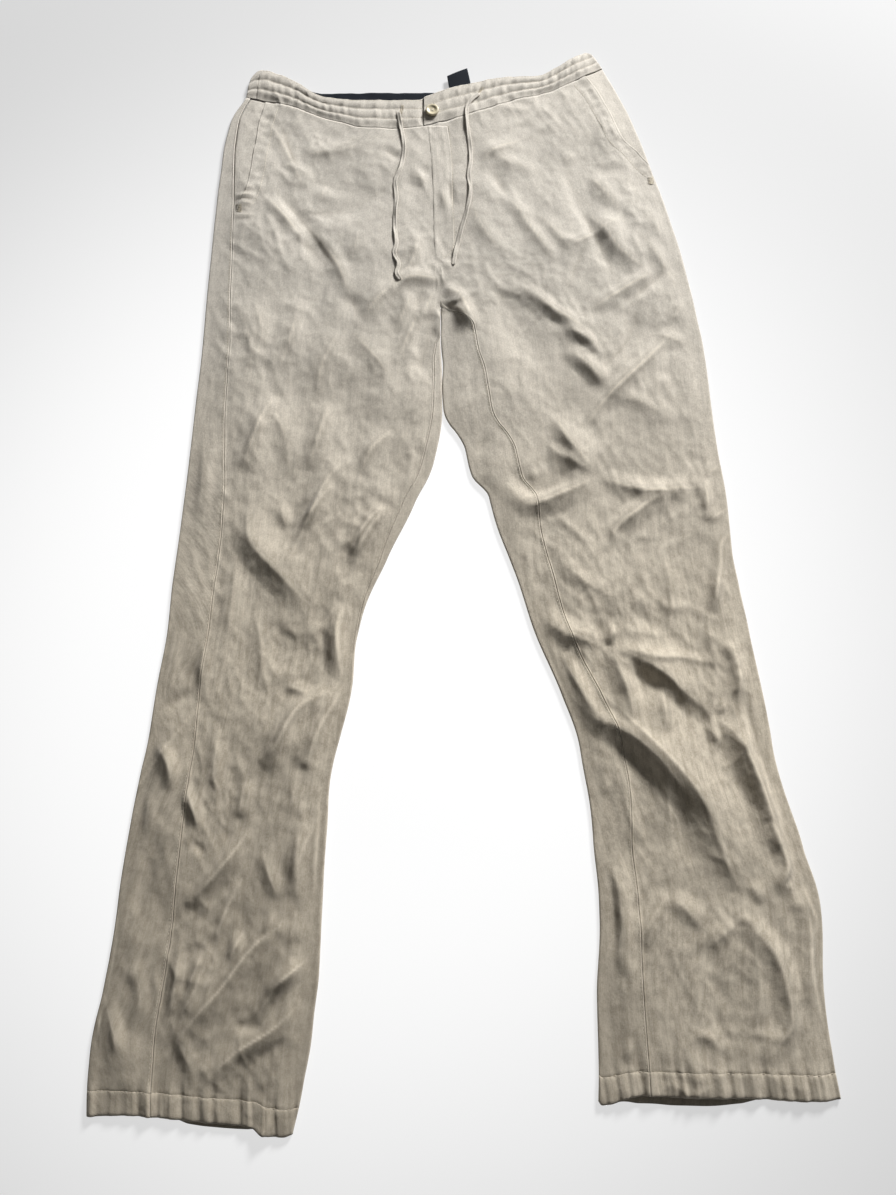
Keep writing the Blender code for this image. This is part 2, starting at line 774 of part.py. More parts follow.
def add_tape(name, route):
    """One free end of the drawstring, a flat tape that lies on the cloth."""
    tree = cloth_tree(
        ("front_right", "front_left", "waistband_front_right", "waistband_front_left", "fly_overlap")
    )
    points = np.asarray(route)
    steps = np.hypot(*np.diff(points, axis=0).T)
    along = np.concatenate([[0], np.cumsum(steps)])
    table = np.column_stack([along, points])
    places = smooth_curve(table, np.linspace(0, along[-1], TAPE_POINTS))
    levels = np.array([resting_level(tree, x, y, TAPE_WIDTH / 2 + 1) for x, y in places])
    padded = np.pad(levels, 1, mode="edge")
    levels = np.maximum(levels, np.maximum(padded[:-2], padded[2:]))
    data = bpy.data.curves.new(name, "CURVE")
    data.dimensions = "3D"
    data.fill_mode = "FULL"
    data.bevel_depth = TAPE_THICKNESS / 2 * MM
    data.extrude = (TAPE_WIDTH - TAPE_THICKNESS) / 2 * MM
    data.bevel_resolution = 2
    data.use_fill_caps = True
    data.twist_mode = "Z_UP"
    spline = data.splines.new("POLY")
    spline.points.add(len(places) - 1)
    for point, (x, y), level in zip(spline.points, places, levels):
        point.co = (x * MM, y * MM, (level + RESTING_GAP + TAPE_THICKNESS / 2) * MM, 1)
        point.tilt = math.pi / 2
    add_object(name, data, OATMEAL_LIGHT)


def clear_scene():
    for old in list(bpy.data.objects):
        bpy.data.objects.remove(old, do_unlink=True)


def main():
    clear_scene()
    right = Leg(
        side="right",
        sections=RIGHT_SECTIONS,
        pocket=RIGHT_POCKET,
        crotch=292.0,
        front_steps=(13, EDGE_STEPS, 2),
        back_steps=(1, EDGE_STEPS, 6, EDGE_STEPS, 4),
        hem_front_steps=(26, EDGE_STEPS, 2),
        hem_back_steps=(5, EDGE_STEPS, 9),
    )
    left = Leg(
        side="left",
        sections=LEFT_SECTIONS,
        pocket=LEFT_POCKET,
        crotch=300.0,
        front_steps=(2, EDGE_STEPS, 15),
        back_steps=(4, EDGE_STEPS, 5),
        hem_front_steps=(2, EDGE_STEPS, 28),
        hem_back_steps=(8, EDGE_STEPS, 5),
    )
    for leg in (right, left):
        add_panels(leg)
        add_pocket_facing(leg)
        for part in ("front", "back"):
            add_hem(leg, part)
    add_front_band("right", 40)
    add_front_band("left", 42)
    add_back_band()
    add_back_facing()
    add_label()
    add_fly()
    add_button()
    add_tape("drawstring_right", RIGHT_TAPE)
    add_tape("drawstring_left", LEFT_TAPE)


main()
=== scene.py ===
"""Looks of the cotton trousers laid flat: cloth, seams, stitching, drawstring, button, floor and light.

Sizes in the tables are in millimetres. +X is the wearer's left, +Y runs towards the waist and +Z is up.
Each piece of cloth is a stretch of a flattened tube, whose sections are tabled below. A place on a section
is the distance round the cloth from its outer edge, across the top, to the inner edge and beneath.
"""

import functools
import math
from collections import namedtuple

import bmesh
import bpy
import numpy as np
from mathutils import Matrix, Vector
from mathutils.bvhtree import BVHTree


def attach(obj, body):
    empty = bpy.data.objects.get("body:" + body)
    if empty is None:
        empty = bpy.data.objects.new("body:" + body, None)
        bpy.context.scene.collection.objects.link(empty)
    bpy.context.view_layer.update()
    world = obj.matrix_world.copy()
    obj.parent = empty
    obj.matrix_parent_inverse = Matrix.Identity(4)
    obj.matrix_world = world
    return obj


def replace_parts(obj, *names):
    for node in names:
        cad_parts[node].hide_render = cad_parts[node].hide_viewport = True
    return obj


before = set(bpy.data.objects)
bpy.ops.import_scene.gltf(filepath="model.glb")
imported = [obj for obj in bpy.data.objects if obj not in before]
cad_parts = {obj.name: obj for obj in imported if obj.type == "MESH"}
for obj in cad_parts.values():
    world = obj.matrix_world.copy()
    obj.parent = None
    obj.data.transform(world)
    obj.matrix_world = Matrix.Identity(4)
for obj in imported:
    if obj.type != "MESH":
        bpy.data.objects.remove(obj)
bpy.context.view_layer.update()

bl_info = {
    "name": "Cotton Trousers",
    "version": (1, 0, 0),
    "blender": (4, 5, 0),
    "location": "View3D > Sidebar > Trousers",
    "description": "Lays a pair of creased cotton trousers with its seams, stitching and fastenings",
    "category": "Add Mesh",
}

MM = 0.001
BODY = "root"
ABOVE_CLOTH = 0.1

# The turned edges of a flattened tube, and how its top puffs up away from them.
EDGE_RADIUS = 1.8
EDGE_TURN = math.pi * EDGE_RADIUS
HALF_TURN = EDGE_TURN / 2
TOP_LEVEL = 2 * EDGE_RADIUS
LEAST_STEP = 0.3
PUFF = 1.2
FOLD_FADE = 24.0
HOLLOW_DEPTH = 0.5
HOLLOW_SHARE = 0.35

# Creases: how round their crests are, how they taper and fall away, and their painted light and shade: a
# pale crest line, partly wear and partly painted highlight, with painted shade beside it and along troughs.
CREST = 1.2
CREASE_TAPER = 1.0
CREASE_STEPS = 28
FLANK = 1.7
FLANK_CURVE = 1.3
# The painted crease lines: width of the pale crest line, depth of the painted shade beside it, and the rise
# at which both are full.
CREST_LINE = 1.5
PAINTED_HOLLOW_SHADE = 0.7
FULL_WEAR_AND_PAINT_RISE = 2.5

# The map of the cloth's heights, and how calm the cloth is at the waist and at the hems.
MAP_STEP = 1.25
MAP_SIZE = (700.0, 1150.0)
NOISE_CELLS = 128
CALM_AT_WAIST = 0.68
CALM_GAIN = 0.12
CALM_FROM = 180.0
CALM_OVER = 260.0

# Hems, seams, pockets and their stitching.
HEM_DEPTH = 21.0
HEM_FADE = 60.0
HEM_RISE = 0.7
HEM_RIPPLE = 2.9
HEM_RIPPLE_LENGTH = 10.0
HEM_RIPPLE_REACH = 40.0
HEM_RIPPLE_FADE = 12.0
HEM_STITCH_WIDTH = 1.3
HEM_END_ROOM = 6.0
HEM_ROWS = (4.5, 3.2, 2.1, 1.2, 0.5, 0.0)
STITCH_DIP = 0.45
CROTCH_STEP = 12.0
SEAM_RAMP = 34.0
SEAM_REACH = 3.0
SEAM_INSET = 2.1
POCKET_RUNOUT = 12.0
POCKET_STITCH = 15.5
DIMPLE_PITCH = 12.0
POCKET_UNDERLAP = 4.0
POCKET_HELD = 4.0
POCKET_HELD_FADE = 12.0
DIMPLE_DEPTH = 0.6
DIMPLE_PLACE = 8.0
DIMPLE_WIDTH = 5.0
STITCHED_PIECES = ("front", "back", "pocket_facing", "hem_front", "hem_back")
LONGEST_STITCH = 2.5
BAR_TACK_ROWS = 12
BAR_TACK_PITCH = 0.8
BAR_TACK_THREAD = 0.45
SINK_OF_POCKET = 0.75
POCKET_EDGE_DROP = 0.25

# The waistband, its stitched channels and its overlap at the front.
CHANNELS = 3
CHANNEL_CROWN = 1.3
BAND_LIFT = 0.9
BAND_RAMP = 0.3
BAND_GAP = 0.2
BAND_DEPTH = 37.0
BACK_RISE = 8.0
FACING_RISE = 11.5
BACK_RISE_PLACE = 0.39
BACK_RISE_REACH = 0.13
BAND_STATIONS = 97
BAND_SAMPLES = 400
BAND_SIDE_SEAM = 13.0
BAND_UNDER_SEAM = -9.0
BAND_FRONT_END = -40.5
BAND_TAB_LIFT = 0.45
BAND_SEAM_SHARE = 0.15
BAND_STIFFNESS = 0.65
BAND_CALM = 0.75
BAND_CALM_REACH = 30.0
BAND_OVERLAP = 8.0
BAND_UNDERLAP_SINK = 1.0
BAND_TAB_LENGTH = 34.0
BAND_TAB_FADE = 14.0
BAND_UNDERLAP = 18.0
BAND_CORNER = 7.0
GATHER_SPACING = 6.0

# The waist's curve on the back, and the strip and the tab inside it.
WAIST_CURVE_REACH = 190.0
BACK_CURVE_SHARE = 0.3
FACING_SPAN = (0.08, 0.92)
FACING_EDGES = (0.5, 1.0)
FACING_LEVEL = 2.8
FACING_THICKNESS = 0.5
LABEL_LEVEL = 4.0
LABEL_SIZE = (24.0, 26.0)
LABEL_THICKNESS = 0.7

# The button, its threads and the drawstring.
BUTTON_PLACE = (-31.0, 474.5)
BUTTON_LIFT = 0.3
BUTTON_THREADS = (-0.45, 0.0, 0.45)
BUTTON_THREAD_RADIUS = 0.28
TAPE_POINTS = 90
TAPE_RING = 16
TAPE_TILT = 1.3

# Pieces whose height others are laid on.
FRONTS = ("front_right", "front_left")
FRONT_BANDS = ("waistband_front_right", "waistband_front_left")

Grain = namedtuple("Grain", "across along detail roughness")
Lump = namedtuple("Lump", "share stretch cell seed calmed")
Crumple = namedtuple("Crumple", "share stretch cell seed")
Streak = namedtuple("Streak", "slant seed")
Section = namedtuple("Section", "out_x out_y in_x in_y out_seam in_seam")
Leg = namedtuple("Leg", "side sections pocket crotch nudges hem_line hem_peek")
Nudge = namedtuple("Nudge", "y outer inner")
Crease = namedtuple("Crease", "route rise left right")
BandSection = namedtuple("BandSection", "top_x top_y low_x")

# Seeded noise under the creases: soft lumps, ridged crumples, and long slanted ridges.
LUMPS = (
    Lump(1.0, 0.7, 62, 11, False),
    Lump(0.38, 0.8, 31, 12, True),
    Lump(0.13, 0.6, 14, 14, True),
    Lump(0.09, 0.8, 7.5, 15, False),
)
CRUMPLES = (Crumple(1.0, 0.7, 30, 21), Crumple(0.5, 0.6, 13, 31))
STREAKS = (Streak(0.6, 41), Streak(-0.9, 51))
STREAK_SHARE = 0.5
STREAK_STRETCH = 0.28
STREAK_CELL = 18

# Sections down each leg: the outer and the inner edge on the ground, and the seams beside them. Each seam is
# its distance round the cloth from its edge, and is negative where it lies beneath.
RIGHT_SECTIONS = (
    Section(-239.5, 495, -21.5, 462, 6, 0),
    Section(-256.5, 456, -21.5, 426, 11, 0),
    Section(-262.5, 401, -21.5, 376, 16, 0),
    Section(-265.5, 349, -21.5, 329, 21, 0),
    Section(-267.5, 296, -21.5, 283, 24, 0),
    Section(-269.5, 239, -21.5, 233, 27, 9),
    Section(-270.5, 193, -21.5, 193, 30, 9),
    Section(-273.5, 133, -21.5, 136, 32, 10),
    Section(-276.5, 71, -27.5, 71, 37, 13),
    Section(-279.5, 19, -44.5, 19, 42, 13),
    Section(-283.5, -39, -73.5, -39, 43, 8),
    Section(-289.5, -109, -99.5, -113, 42, 2),
    Section(-298.5, -197, -112.5, -203, 45, -6),
    Section(-307.5, -284, -125.5, -291, 50, -15),
    Section(-315.5, -364, -128.5, -374, 53, -22),
    Section(-326.5, -441, -130.5, -451, 54, -28),
    Section(-331.5, -504, -138.5, -517, 58, -31),
    Section(-329.5, -543, -146.5, -557, 58, -32),
)
LEFT_SECTIONS = (
    Section(160.5, 533, -21.5, 462, -9, 0),
    Section(177.5, 497, -21.5, 421, -10, 0),
    Section(194.5, 453, -21.5, 376, -11, 0),
    Section(210.5, 399, -21.5, 329, -12, 0),
    Section(226.5, 341, -21.5, 283, -14, 4),
    Section(242.5, 266, -21.5, 251, -16, 18),
    Section(249.5, 221, -21.5, 221, -17, 33),
    Section(254.5, 183, -21.5, 183, -18, 40),
    Section(258.0, 126, -19.5, 126, -20, 50),
    Section(261.5, 76, 2.5, 76, -21, 52),
    Section(267.5, 19, 24.5, 19, -22, 48),
    Section(269.5, -39, 49.5, -39, -23, 39),
    Section(279.5, -109, 70.5, -111, -24, 35),
    Section(289.5, -174, 93.5, -174, -25, 38),
    Section(299.5, -244, 112.5, -242, -26, 41),
    Section(316.5, -317, 122.5, -315, -28, 36),
    Section(330.5, -379, 126.5, -379, -29, 37),
    Section(326.5, -441, 121.5, -443, -30, 42),
    Section(328.5, -494, 120.5, -495, -30, 44),
    Section(331.5, -529, 118.5, -531, -30, 46),
)

# A pocket's opening: distance down the outer edge, and distance round the cloth from that edge.
RIGHT_POCKET = ((0, 23), (36, 32), (72, 34), (108, 33), (144, 24))
LEFT_POCKET = ((0, 21), (38, 19), (76, 19), (114, 8), (152, -9))

# The seam under the waistband, from the wearer's right to left.
WAIST_SEAM = (
    (-239.5, 495),
    (-223, 491),
    (-200, 486),
    (-168, 474),
    (-130, 461),
    (-98, 454),
    (-56, 455),
    (-21.5, 462),
    (20, 474),
    (62, 490),
    (92, 499),
    (124, 513),
    (160.5, 533),
)

# The waistband's upper edge, and where each section meets the seam under it.
BAND_SECTIONS = (
    BandSection(-236, 522, -239.5),
    BandSection(-222, 529.5, -228),
    BandSection(-205.5, 524.5, -211),
    BandSection(-181.5, 512, -186),
    BandSection(-143.5, 493, -144.5),
    BandSection(-95.5, 490, -97),
    BandSection(-55.5, 490, -55.5),
    BandSection(-36.5, 495, -32),
    BandSection(-11.5, 505, -9),
    BandSection(12.5, 511, 18),
    BandSection(58.5, 520, 63),
    BandSection(80, 521, 88),
    BandSection(106.5, 532, 110),
    BandSection(127.5, 546, 134),
    BandSection(146.5, 557, 160.5),
)

# The fly's overlap, from the band down: height, left edge and right edge.
FLY_ROWS = (
    (456.5, -36.5, -14.5),
    (440.0, -35.0, -12.0),
    (404.0, -31.5, -9.5),
    (357.0, -30.0, -8.5),
    (318.0, -29.0, -7.0),
    (301.0, -28.0, -8.0),
    (289.0, -25.0, -13.0),
)

RIGHT_TAPE = (
    (-69.0, 474.0),
    (-66.0, 458.0),
    (-63.0, 442.0),
    (-61.8, 425.0),
    (-65.0, 404.0),
    (-71.0, 388.0),
    (-69.5, 366.0),
    (-70.7, 347.0),
    (-70.5, 329.0),
    (-68.7, 310.0),
    (-71.0, 298.0),
    (-66.0, 286.0),
    (-68.0, 274.0),
    (-63.5, 264.0),
)
LEFT_TAPE = (
    (22.0, 496.5),
    (14.5, 490.0),
    (8.0, 480.0),
    (7.5, 462.0),
    (10.5, 434.0),
    (11.5, 413.0),
    (9.0, 393.0),
    (11.0, 375.0),
    (7.0, 351.0),
    (1.8, 332.0),
    (-2.5, 314.0),
    (-5.5, 301.0),
    (-8.0, 284.0),
)

LABEL_CORNERS = ((-11.0, 497.0), (-14.6, 522.5), (8.0, 533.0), (13.5, 504.0))

# How far each leg's edges lie beside the sections above, by height.
RIGHT_NUDGES = (
    Nudge(-560, 0.0, -2.0),
    Nudge(-492, 1.0, -2.1),
    Nudge(-469, 1.9, -2.4),
    Nudge(-425, 3.4, 0.0),
    Nudge(-403, 2.8, 0.0),
    Nudge(-330, -1.4, 0.0),
    Nudge(-300, -1.0, 0.0),
    Nudge(-247, 0.5, -2.4),
    Nudge(-212, 2.2, -1.5),
    Nudge(-164, 1.5, 2.6),
    Nudge(-119, 2.7, -1.5),
    Nudge(-60, 0.0, 0.0),
    Nudge(29, 0.0, -2.6),
    Nudge(42, 0.0, -1.6),
    Nudge(92, 0.0, 2.0),
    Nudge(158, 0.0, 1.8),
    Nudge(200, 0.0, 0.0),
    Nudge(540, 0.0, 0.0),
)
LEFT_NUDGES = (
    Nudge(-560, 0.0, 0.0),
    Nudge(-361, -3.0, -1.8),
    Nudge(-300, 0.0, -0.5),
    Nudge(-237, -2.0, 1.5),
    Nudge(-205, -0.5, 2.6),
    Nudge(-120, 0.0, 0.0),
    Nudge(-65, 1.7, -1.0),
    Nudge(-32, 0.0, -2.0),
    Nudge(21, 0.0, 5.0),
    Nudge(28, 0.0, 6.0),
    Nudge(48, 0.0, -2.7),
    Nudge(95, 0.0, 4.1),
    Nudge(103, 0.0, 2.4),
    Nudge(125, 0.0, 0.8),
    Nudge(150, 0.0, 1.6),
    Nudge(168, 0.0, 3.0),
    Nudge(186, 0.0, 1.2),
    Nudge(203, 0.0, 0.7),
    Nudge(219, 0.0, 0.7),
    Nudge(236, 0.0, 0.0),
    Nudge(560, 0.0, 0.0),
)

# How far each hem's lower edge lies above a straight line, by its share of the way from the outer edge.
RIGHT_HEM_LINE = ((0, 0), (0.31, 4.3), (0.59, 3.5), (0.79, 3.4), (0.86, -2.4), (0.94, -3.0), (1, 0))
LEFT_HEM_LINE = (
    (0, 0),
    (0.09, -1.7),
    (0.36, 1.0),
    (0.69, 3.0),
    (0.80, 4.4),
    (0.86, 3.6),
    (0.985, -3.0),
    (1, 0),
)

# How far the back hem shows below the front one, by the same share.
RIGHT_HEM_PEEK = ((0, 0), (0.42, 0), (0.5, 3.0), (0.62, 3.5), (0.78, 3.0), (0.84, 0), (1, 0))
LEFT_HEM_PEEK = ((0, 0), (0.3, 0), (0.42, 4.5), (0.62, 7.0), (0.82, 6.5), (0.92, 1.0), (1, 0))

# Creases by their smoothed routes, rise, and reach on the left and right sides. A trough's rise is negative.
LEFT_LEG_CREASES = (
    Crease(
        ((118, -157), (141, -180), (164, -203), (198, -239), (223, -274), (237, -315), (252, -354)),
        7.7,
        26,
        16,
    ),
    Crease(((92, -157), (119, -192), (142, -203), (172, -224), (206, -264), (223, -283)), 3.6, 8, 10),
    Crease(((148, -106), (142, -126)), 2.3, 4, 5),
    Crease(((142, -127), (154, -159), (164, -198)), 4.9, 8, 9),
    Crease(((75, -98), (105, -116), (139, -127)), 3.6, 10, 9),
    Crease(((143, -125), (185, -137), (210, -137), (231, -141), (255, -144)), 1.7, 4, 4),
    Crease(((139, -127), (149, -131), (185, -148), (220, -178), (241, -192)), 5.3, 22, 9),
    Crease(((254, -181), (241, -192)), 1.2, 4, 4),
    Crease(((244, -194), (263, -219), (273, -244), (284, -276), (289, -298), (296, -322)), 6.1, 14, 11),
    Crease(((270, -170), (271, -184), (280, -221), (289, -256), (291, -288)), -3.1, 6, 8),
    Crease(((256, -41), (250, -70), (245, -94)), 3.6, 5, 5),
    Crease(((255, -60), (266, -80)), 1.4, 4, 4),
    Crease(((97, 116), (107, 88), (123, 66), (140, 51)), 4, 14, 8),
    Crease(((88, 83), (104, 68), (136, 49)), 2.6, 5, 10),
    Crease(((44, 40), (68, 18), (107, 31), (138, 47)), 4, 10, 10),
    Crease(((51, 53), (73, 34), (114, 45)), -2.6, 8, 8),
    Crease(((136, 47), (186, 32), (243, 36)), 2.8, 8, 8),
    Crease(((207, 31), (179, 13), (152, -11), (153, -34)), 3.6, 9, 7),
    Crease(((227, 214), (193, 175), (151, 133), (123, 96)), 2.8, 7, 6),
    Crease(((189, 248), (174, 198), (140, 157)), -1.9, 6, 6),
    Crease(((112, 189), (138, 160), (151, 139)), 3.1, 8, 7),
    Crease(((106, 215), (135, 196), (136, 182)), 2.1, 5, 5),
    Crease(((36, 248), (62, 214), (83, 175)), -3.1, 14, 16),
    Crease(((68, 262), (93, 236), (135, 208)), 2.1, 6, 6),
    Crease(((262, 60), (246, 47)), 1.3, 4, 5),
    Crease(((246, 45), (246, 21), (245, -1)), 2.6, 4, 6),
    Crease(((267, 14), (245, -1)), 1.5, 4, 5),
    Crease(((269, -11), (258, -24), (256, -59)), 2.6, 5, 5),
    Crease(((30, 90), (8, 68)), -1.4, 4, 4),
    Crease(
        ((252, -366), (265, -389), (281, -409), (288, -433), (292, -462), (286, -476), (261, -501)),
        3.7,
        8,
        9,
    ),
    Crease(((247, -382), (215, -407)), 1.4, 6, 8),
    Crease(((286, -293), (298, -329), (293, -347), (305, -352)), 3.6, 5, 7),
    Crease(((304, -354), (315, -384), (314, -425), (321, -466), (327, -485)), 4.5, 6, 7),
    Crease(((312, -351), (325, -386)), 3.1, 4, 5),
    Crease(((138, -325), (144, -376), (142, -409), (142, -430)), 3.6, 12, 3),
    Crease(((149, -482), (143, -498)), 1.3, 3, 4),
    Crease(((246, -474), (289, -480)), 0.7, 3, 3),
    Crease(((191, -166), (194, -210)), 2.6, 8, 9),
    Crease(((231, -202), (241, -217), (238, -228)), 1.7, 3, 4),
    Crease(((138, -255), (128, -270)), 1.1, 4, 4),
    Crease(((75, -104), (88, -148), (103, -180), (115, -196)), 3.1, 5, 5),
    Crease(((95, -133), (102, -148), (116, -174), (127, -194)), 3.1, 6, 5),
    Crease(((187, -356), (167, -386), (157, -398)), 1.5, 7, 8),
    Crease(((189, -358), (204, -371), (217, -386)), 2.1, 7, 7),
    Crease(((181, -245), (192, -273), (194, -309)), 2, 8, 9),
    Crease(((150, -236), (153, -273), (164, -318)), 1.7, 5, 6),
    Crease(((260, -121), (266, -151), (265, -180)), 2.2, 5, 6),
    Crease(((126, -72), (135, -94)), 1.1, 6, 6),
    Crease(((202, -41), (206, -82), (200, -121)), 1.7, 9, 9),
    Crease(((175, -72), (185, -106)), 1.3, 7, 7),
    Crease(((265, -345), (271, -366)), 1.5, 5, 5),
    Crease(((204, -414), (211, -447), (200, -480)), 1.5, 9, 9),
    Crease(((188, -356), (174, -384), (165, -405)), 1.1, 7, 9),
    Crease(((97, -41), (126, -66), (160, -82)), 1.5, 7, 7),
    Crease(((260, -388), (266, -431), (259, -480)), 1.7, 6, 7),
)
RIGHT_LEG_CREASES = (
    Crease(((-191, 135), (-204, 107), (-214, 74), (-217, 49)), 3.9, 16, 10),
    Crease(((-214, 18), (-209, -21), (-183, -52), (-149, -86)), 4.3, 18, 11),
    Crease(((-111, 64), (-130, 49), (-140, 29), (-165, -31), (-172, -52)), 3.9, 10, 10),
    Crease(((-77, 18), (-97, -7), (-112, -35)), 3.4, 8, 8),
    Crease(((-181, 17), (-174, -9)), 1.7, 5, 5),
    Crease(((-114, -86), (-121, -107), (-119, -136), (-114, -162)), 5.8, 6, 8),
    Crease(((-114, -162), (-122, -182), (-133, -202), (-144, -232), (-150, -245)), 4.9, 8, 14),
    Crease(((-126, -170), (-156, -187), (-172, -216), (-187, -245)), 4.9, 9, 8),
    Crease(((-171, -165), (-146, -173)), 1.7, 5, 4),
    Crease(((-295, -218), (-278, -234), (-273, -252), (-278, -263)), 3.4, 5, 6),
    Crease(((-258, -171), (-294, -191)), -2.3, 4, 4),
    Crease(((-259, -261), (-251, -278), (-243, -305)), 3.4, 5, 6),
    Crease(((-195, -296), (-217, -328), (-245, -360), (-256, -368)), 3.9, 8, 6),
    Crease(((-149, -372), (-187, -400), (-215, -436), (-239, -463), (-260, -489)), 4.9, 14, 9),
    Crease(((-141, -413), (-177, -441)), 2.8, 7, 6),
    Crease(((-144, -449), (-169, -471), (-200, -490), (-228, -515)), 4.4, 9, 8),
    Crease(((-209, -468), (-171, -472)), -0.7, 3, 3),
    Crease(((-253, -408), (-257, -435), (-260, -463)), 1.8, 4, 5),
    Crease(((-234, -405), (-244, -435), (-250, -452)), 2.6, 4, 5),
    Crease(((-200, -390), (-210, -414)), 2.3, 5, 6),
    Crease(((-322, -441), (-311, -468), (-302, -497)), 3.4, 5, 6),
    Crease(((-326, -452), (-319, -491)), 2.6, 4, 5),
    Crease(((-250, -310), (-237, -322)), -1.4, 4, 4),
    Crease(((-285, -324), (-293, -349), (-301, -372)), -2.8, 6, 6),
    Crease(((-171, -372), (-179, -393)), 1, 3, 4),
    Crease(((-252, -480), (-234, -510)), 0.8, 4, 4),
    Crease(((-186, -121), (-166, -131), (-142, -121)), -2.8, 14, 14),
    Crease(((-202, -92), (-193, -131), (-195, -170)), 1.9, 8, 8),
    Crease(((-151, -291), (-152, -318), (-158, -362)), 2.3, 6, 8),
    Crease(((-133, -264), (-135, -318), (-136, -366)), 2.6, 5, 6),
    Crease(((-276, -102), (-282, -141), (-286, -180)), 2.3, 5, 5),
    Crease(((-292, -264), (-294, -309)), 2.3, 5, 5),
    Crease(((-314, -366), (-315, -401), (-318, -435)), 2.6, 5, 5),
    Crease(((-223, -41), (-224, -92), (-229, -131)), 1.9, 7, 8),
    Crease(((-249, -121), (-250, -180)), 1.6, 5, 5),
    Crease(((-228, -198), (-233, -245), (-224, -273)), 2.1, 7, 7),
    Crease(((-204, -255), (-208, -291)), 1.9, 6, 6),
    Crease(((-167, -362), (-175, -345), (-185, -318)), 2.1, 6, 7),
    Crease(((-71, 96), (-91, 75), (-102, 48)), 2.8, 8, 9),
    Crease(((-135, 129), (-146, 86), (-155, 53)), 2.8, 10, 10),
    Crease(((-262, 96), (-261, 42), (-263, 0)), 1.9, 7, 7),
    Crease(((-204, -345), (-219, -380), (-224, -405)), 2.1, 6, 7),
    Crease(((-295, -414), (-288, -447), (-292, -472)), 1.9, 5, 6),
    Crease(((-139, -413), (-168, -438), (-185, -467)), 2.4, 6, 5),
    Crease(((-252, -380), (-259, -435), (-261, -462)), 1.2, 6, 5),
    Crease(((-231, -415), (-240, -439), (-250, -459)), 1.9, 5, 4),
    Crease(((-259, -362), (-237, -378), (-220, -385)), -1, 6, 6),
    Crease(((-140, -368), (-189, -398), (-217, -434), (-241, -461), (-264, -492)), -1.4, 3, 6),
    Crease(((-144, -446), (-170, -469), (-202, -488), (-230, -514)), -1.1, 3, 6),
    Crease(((-319, -442), (-324, -467), (-326, -490)), 2.6, 5, 5),
    Crease(((-262, -460), (-251, -481), (-233, -517)), 0.8, 6, 5),
    Crease(((-74, 17), (-89, -6), (-105, -33), (-114, -47)), 3.3, 10, 4),
    Crease(((-129, 39), (-146, 11), (-157, -10)), 2.4, 8, 4),
    Crease(((-238, -170), (-268, -208), (-302, -255), (-326, -291)), 1.9, 9, 8),
    Crease(((-136, -291), (-150, -327), (-152, -362)), 2, 6, 7),
)
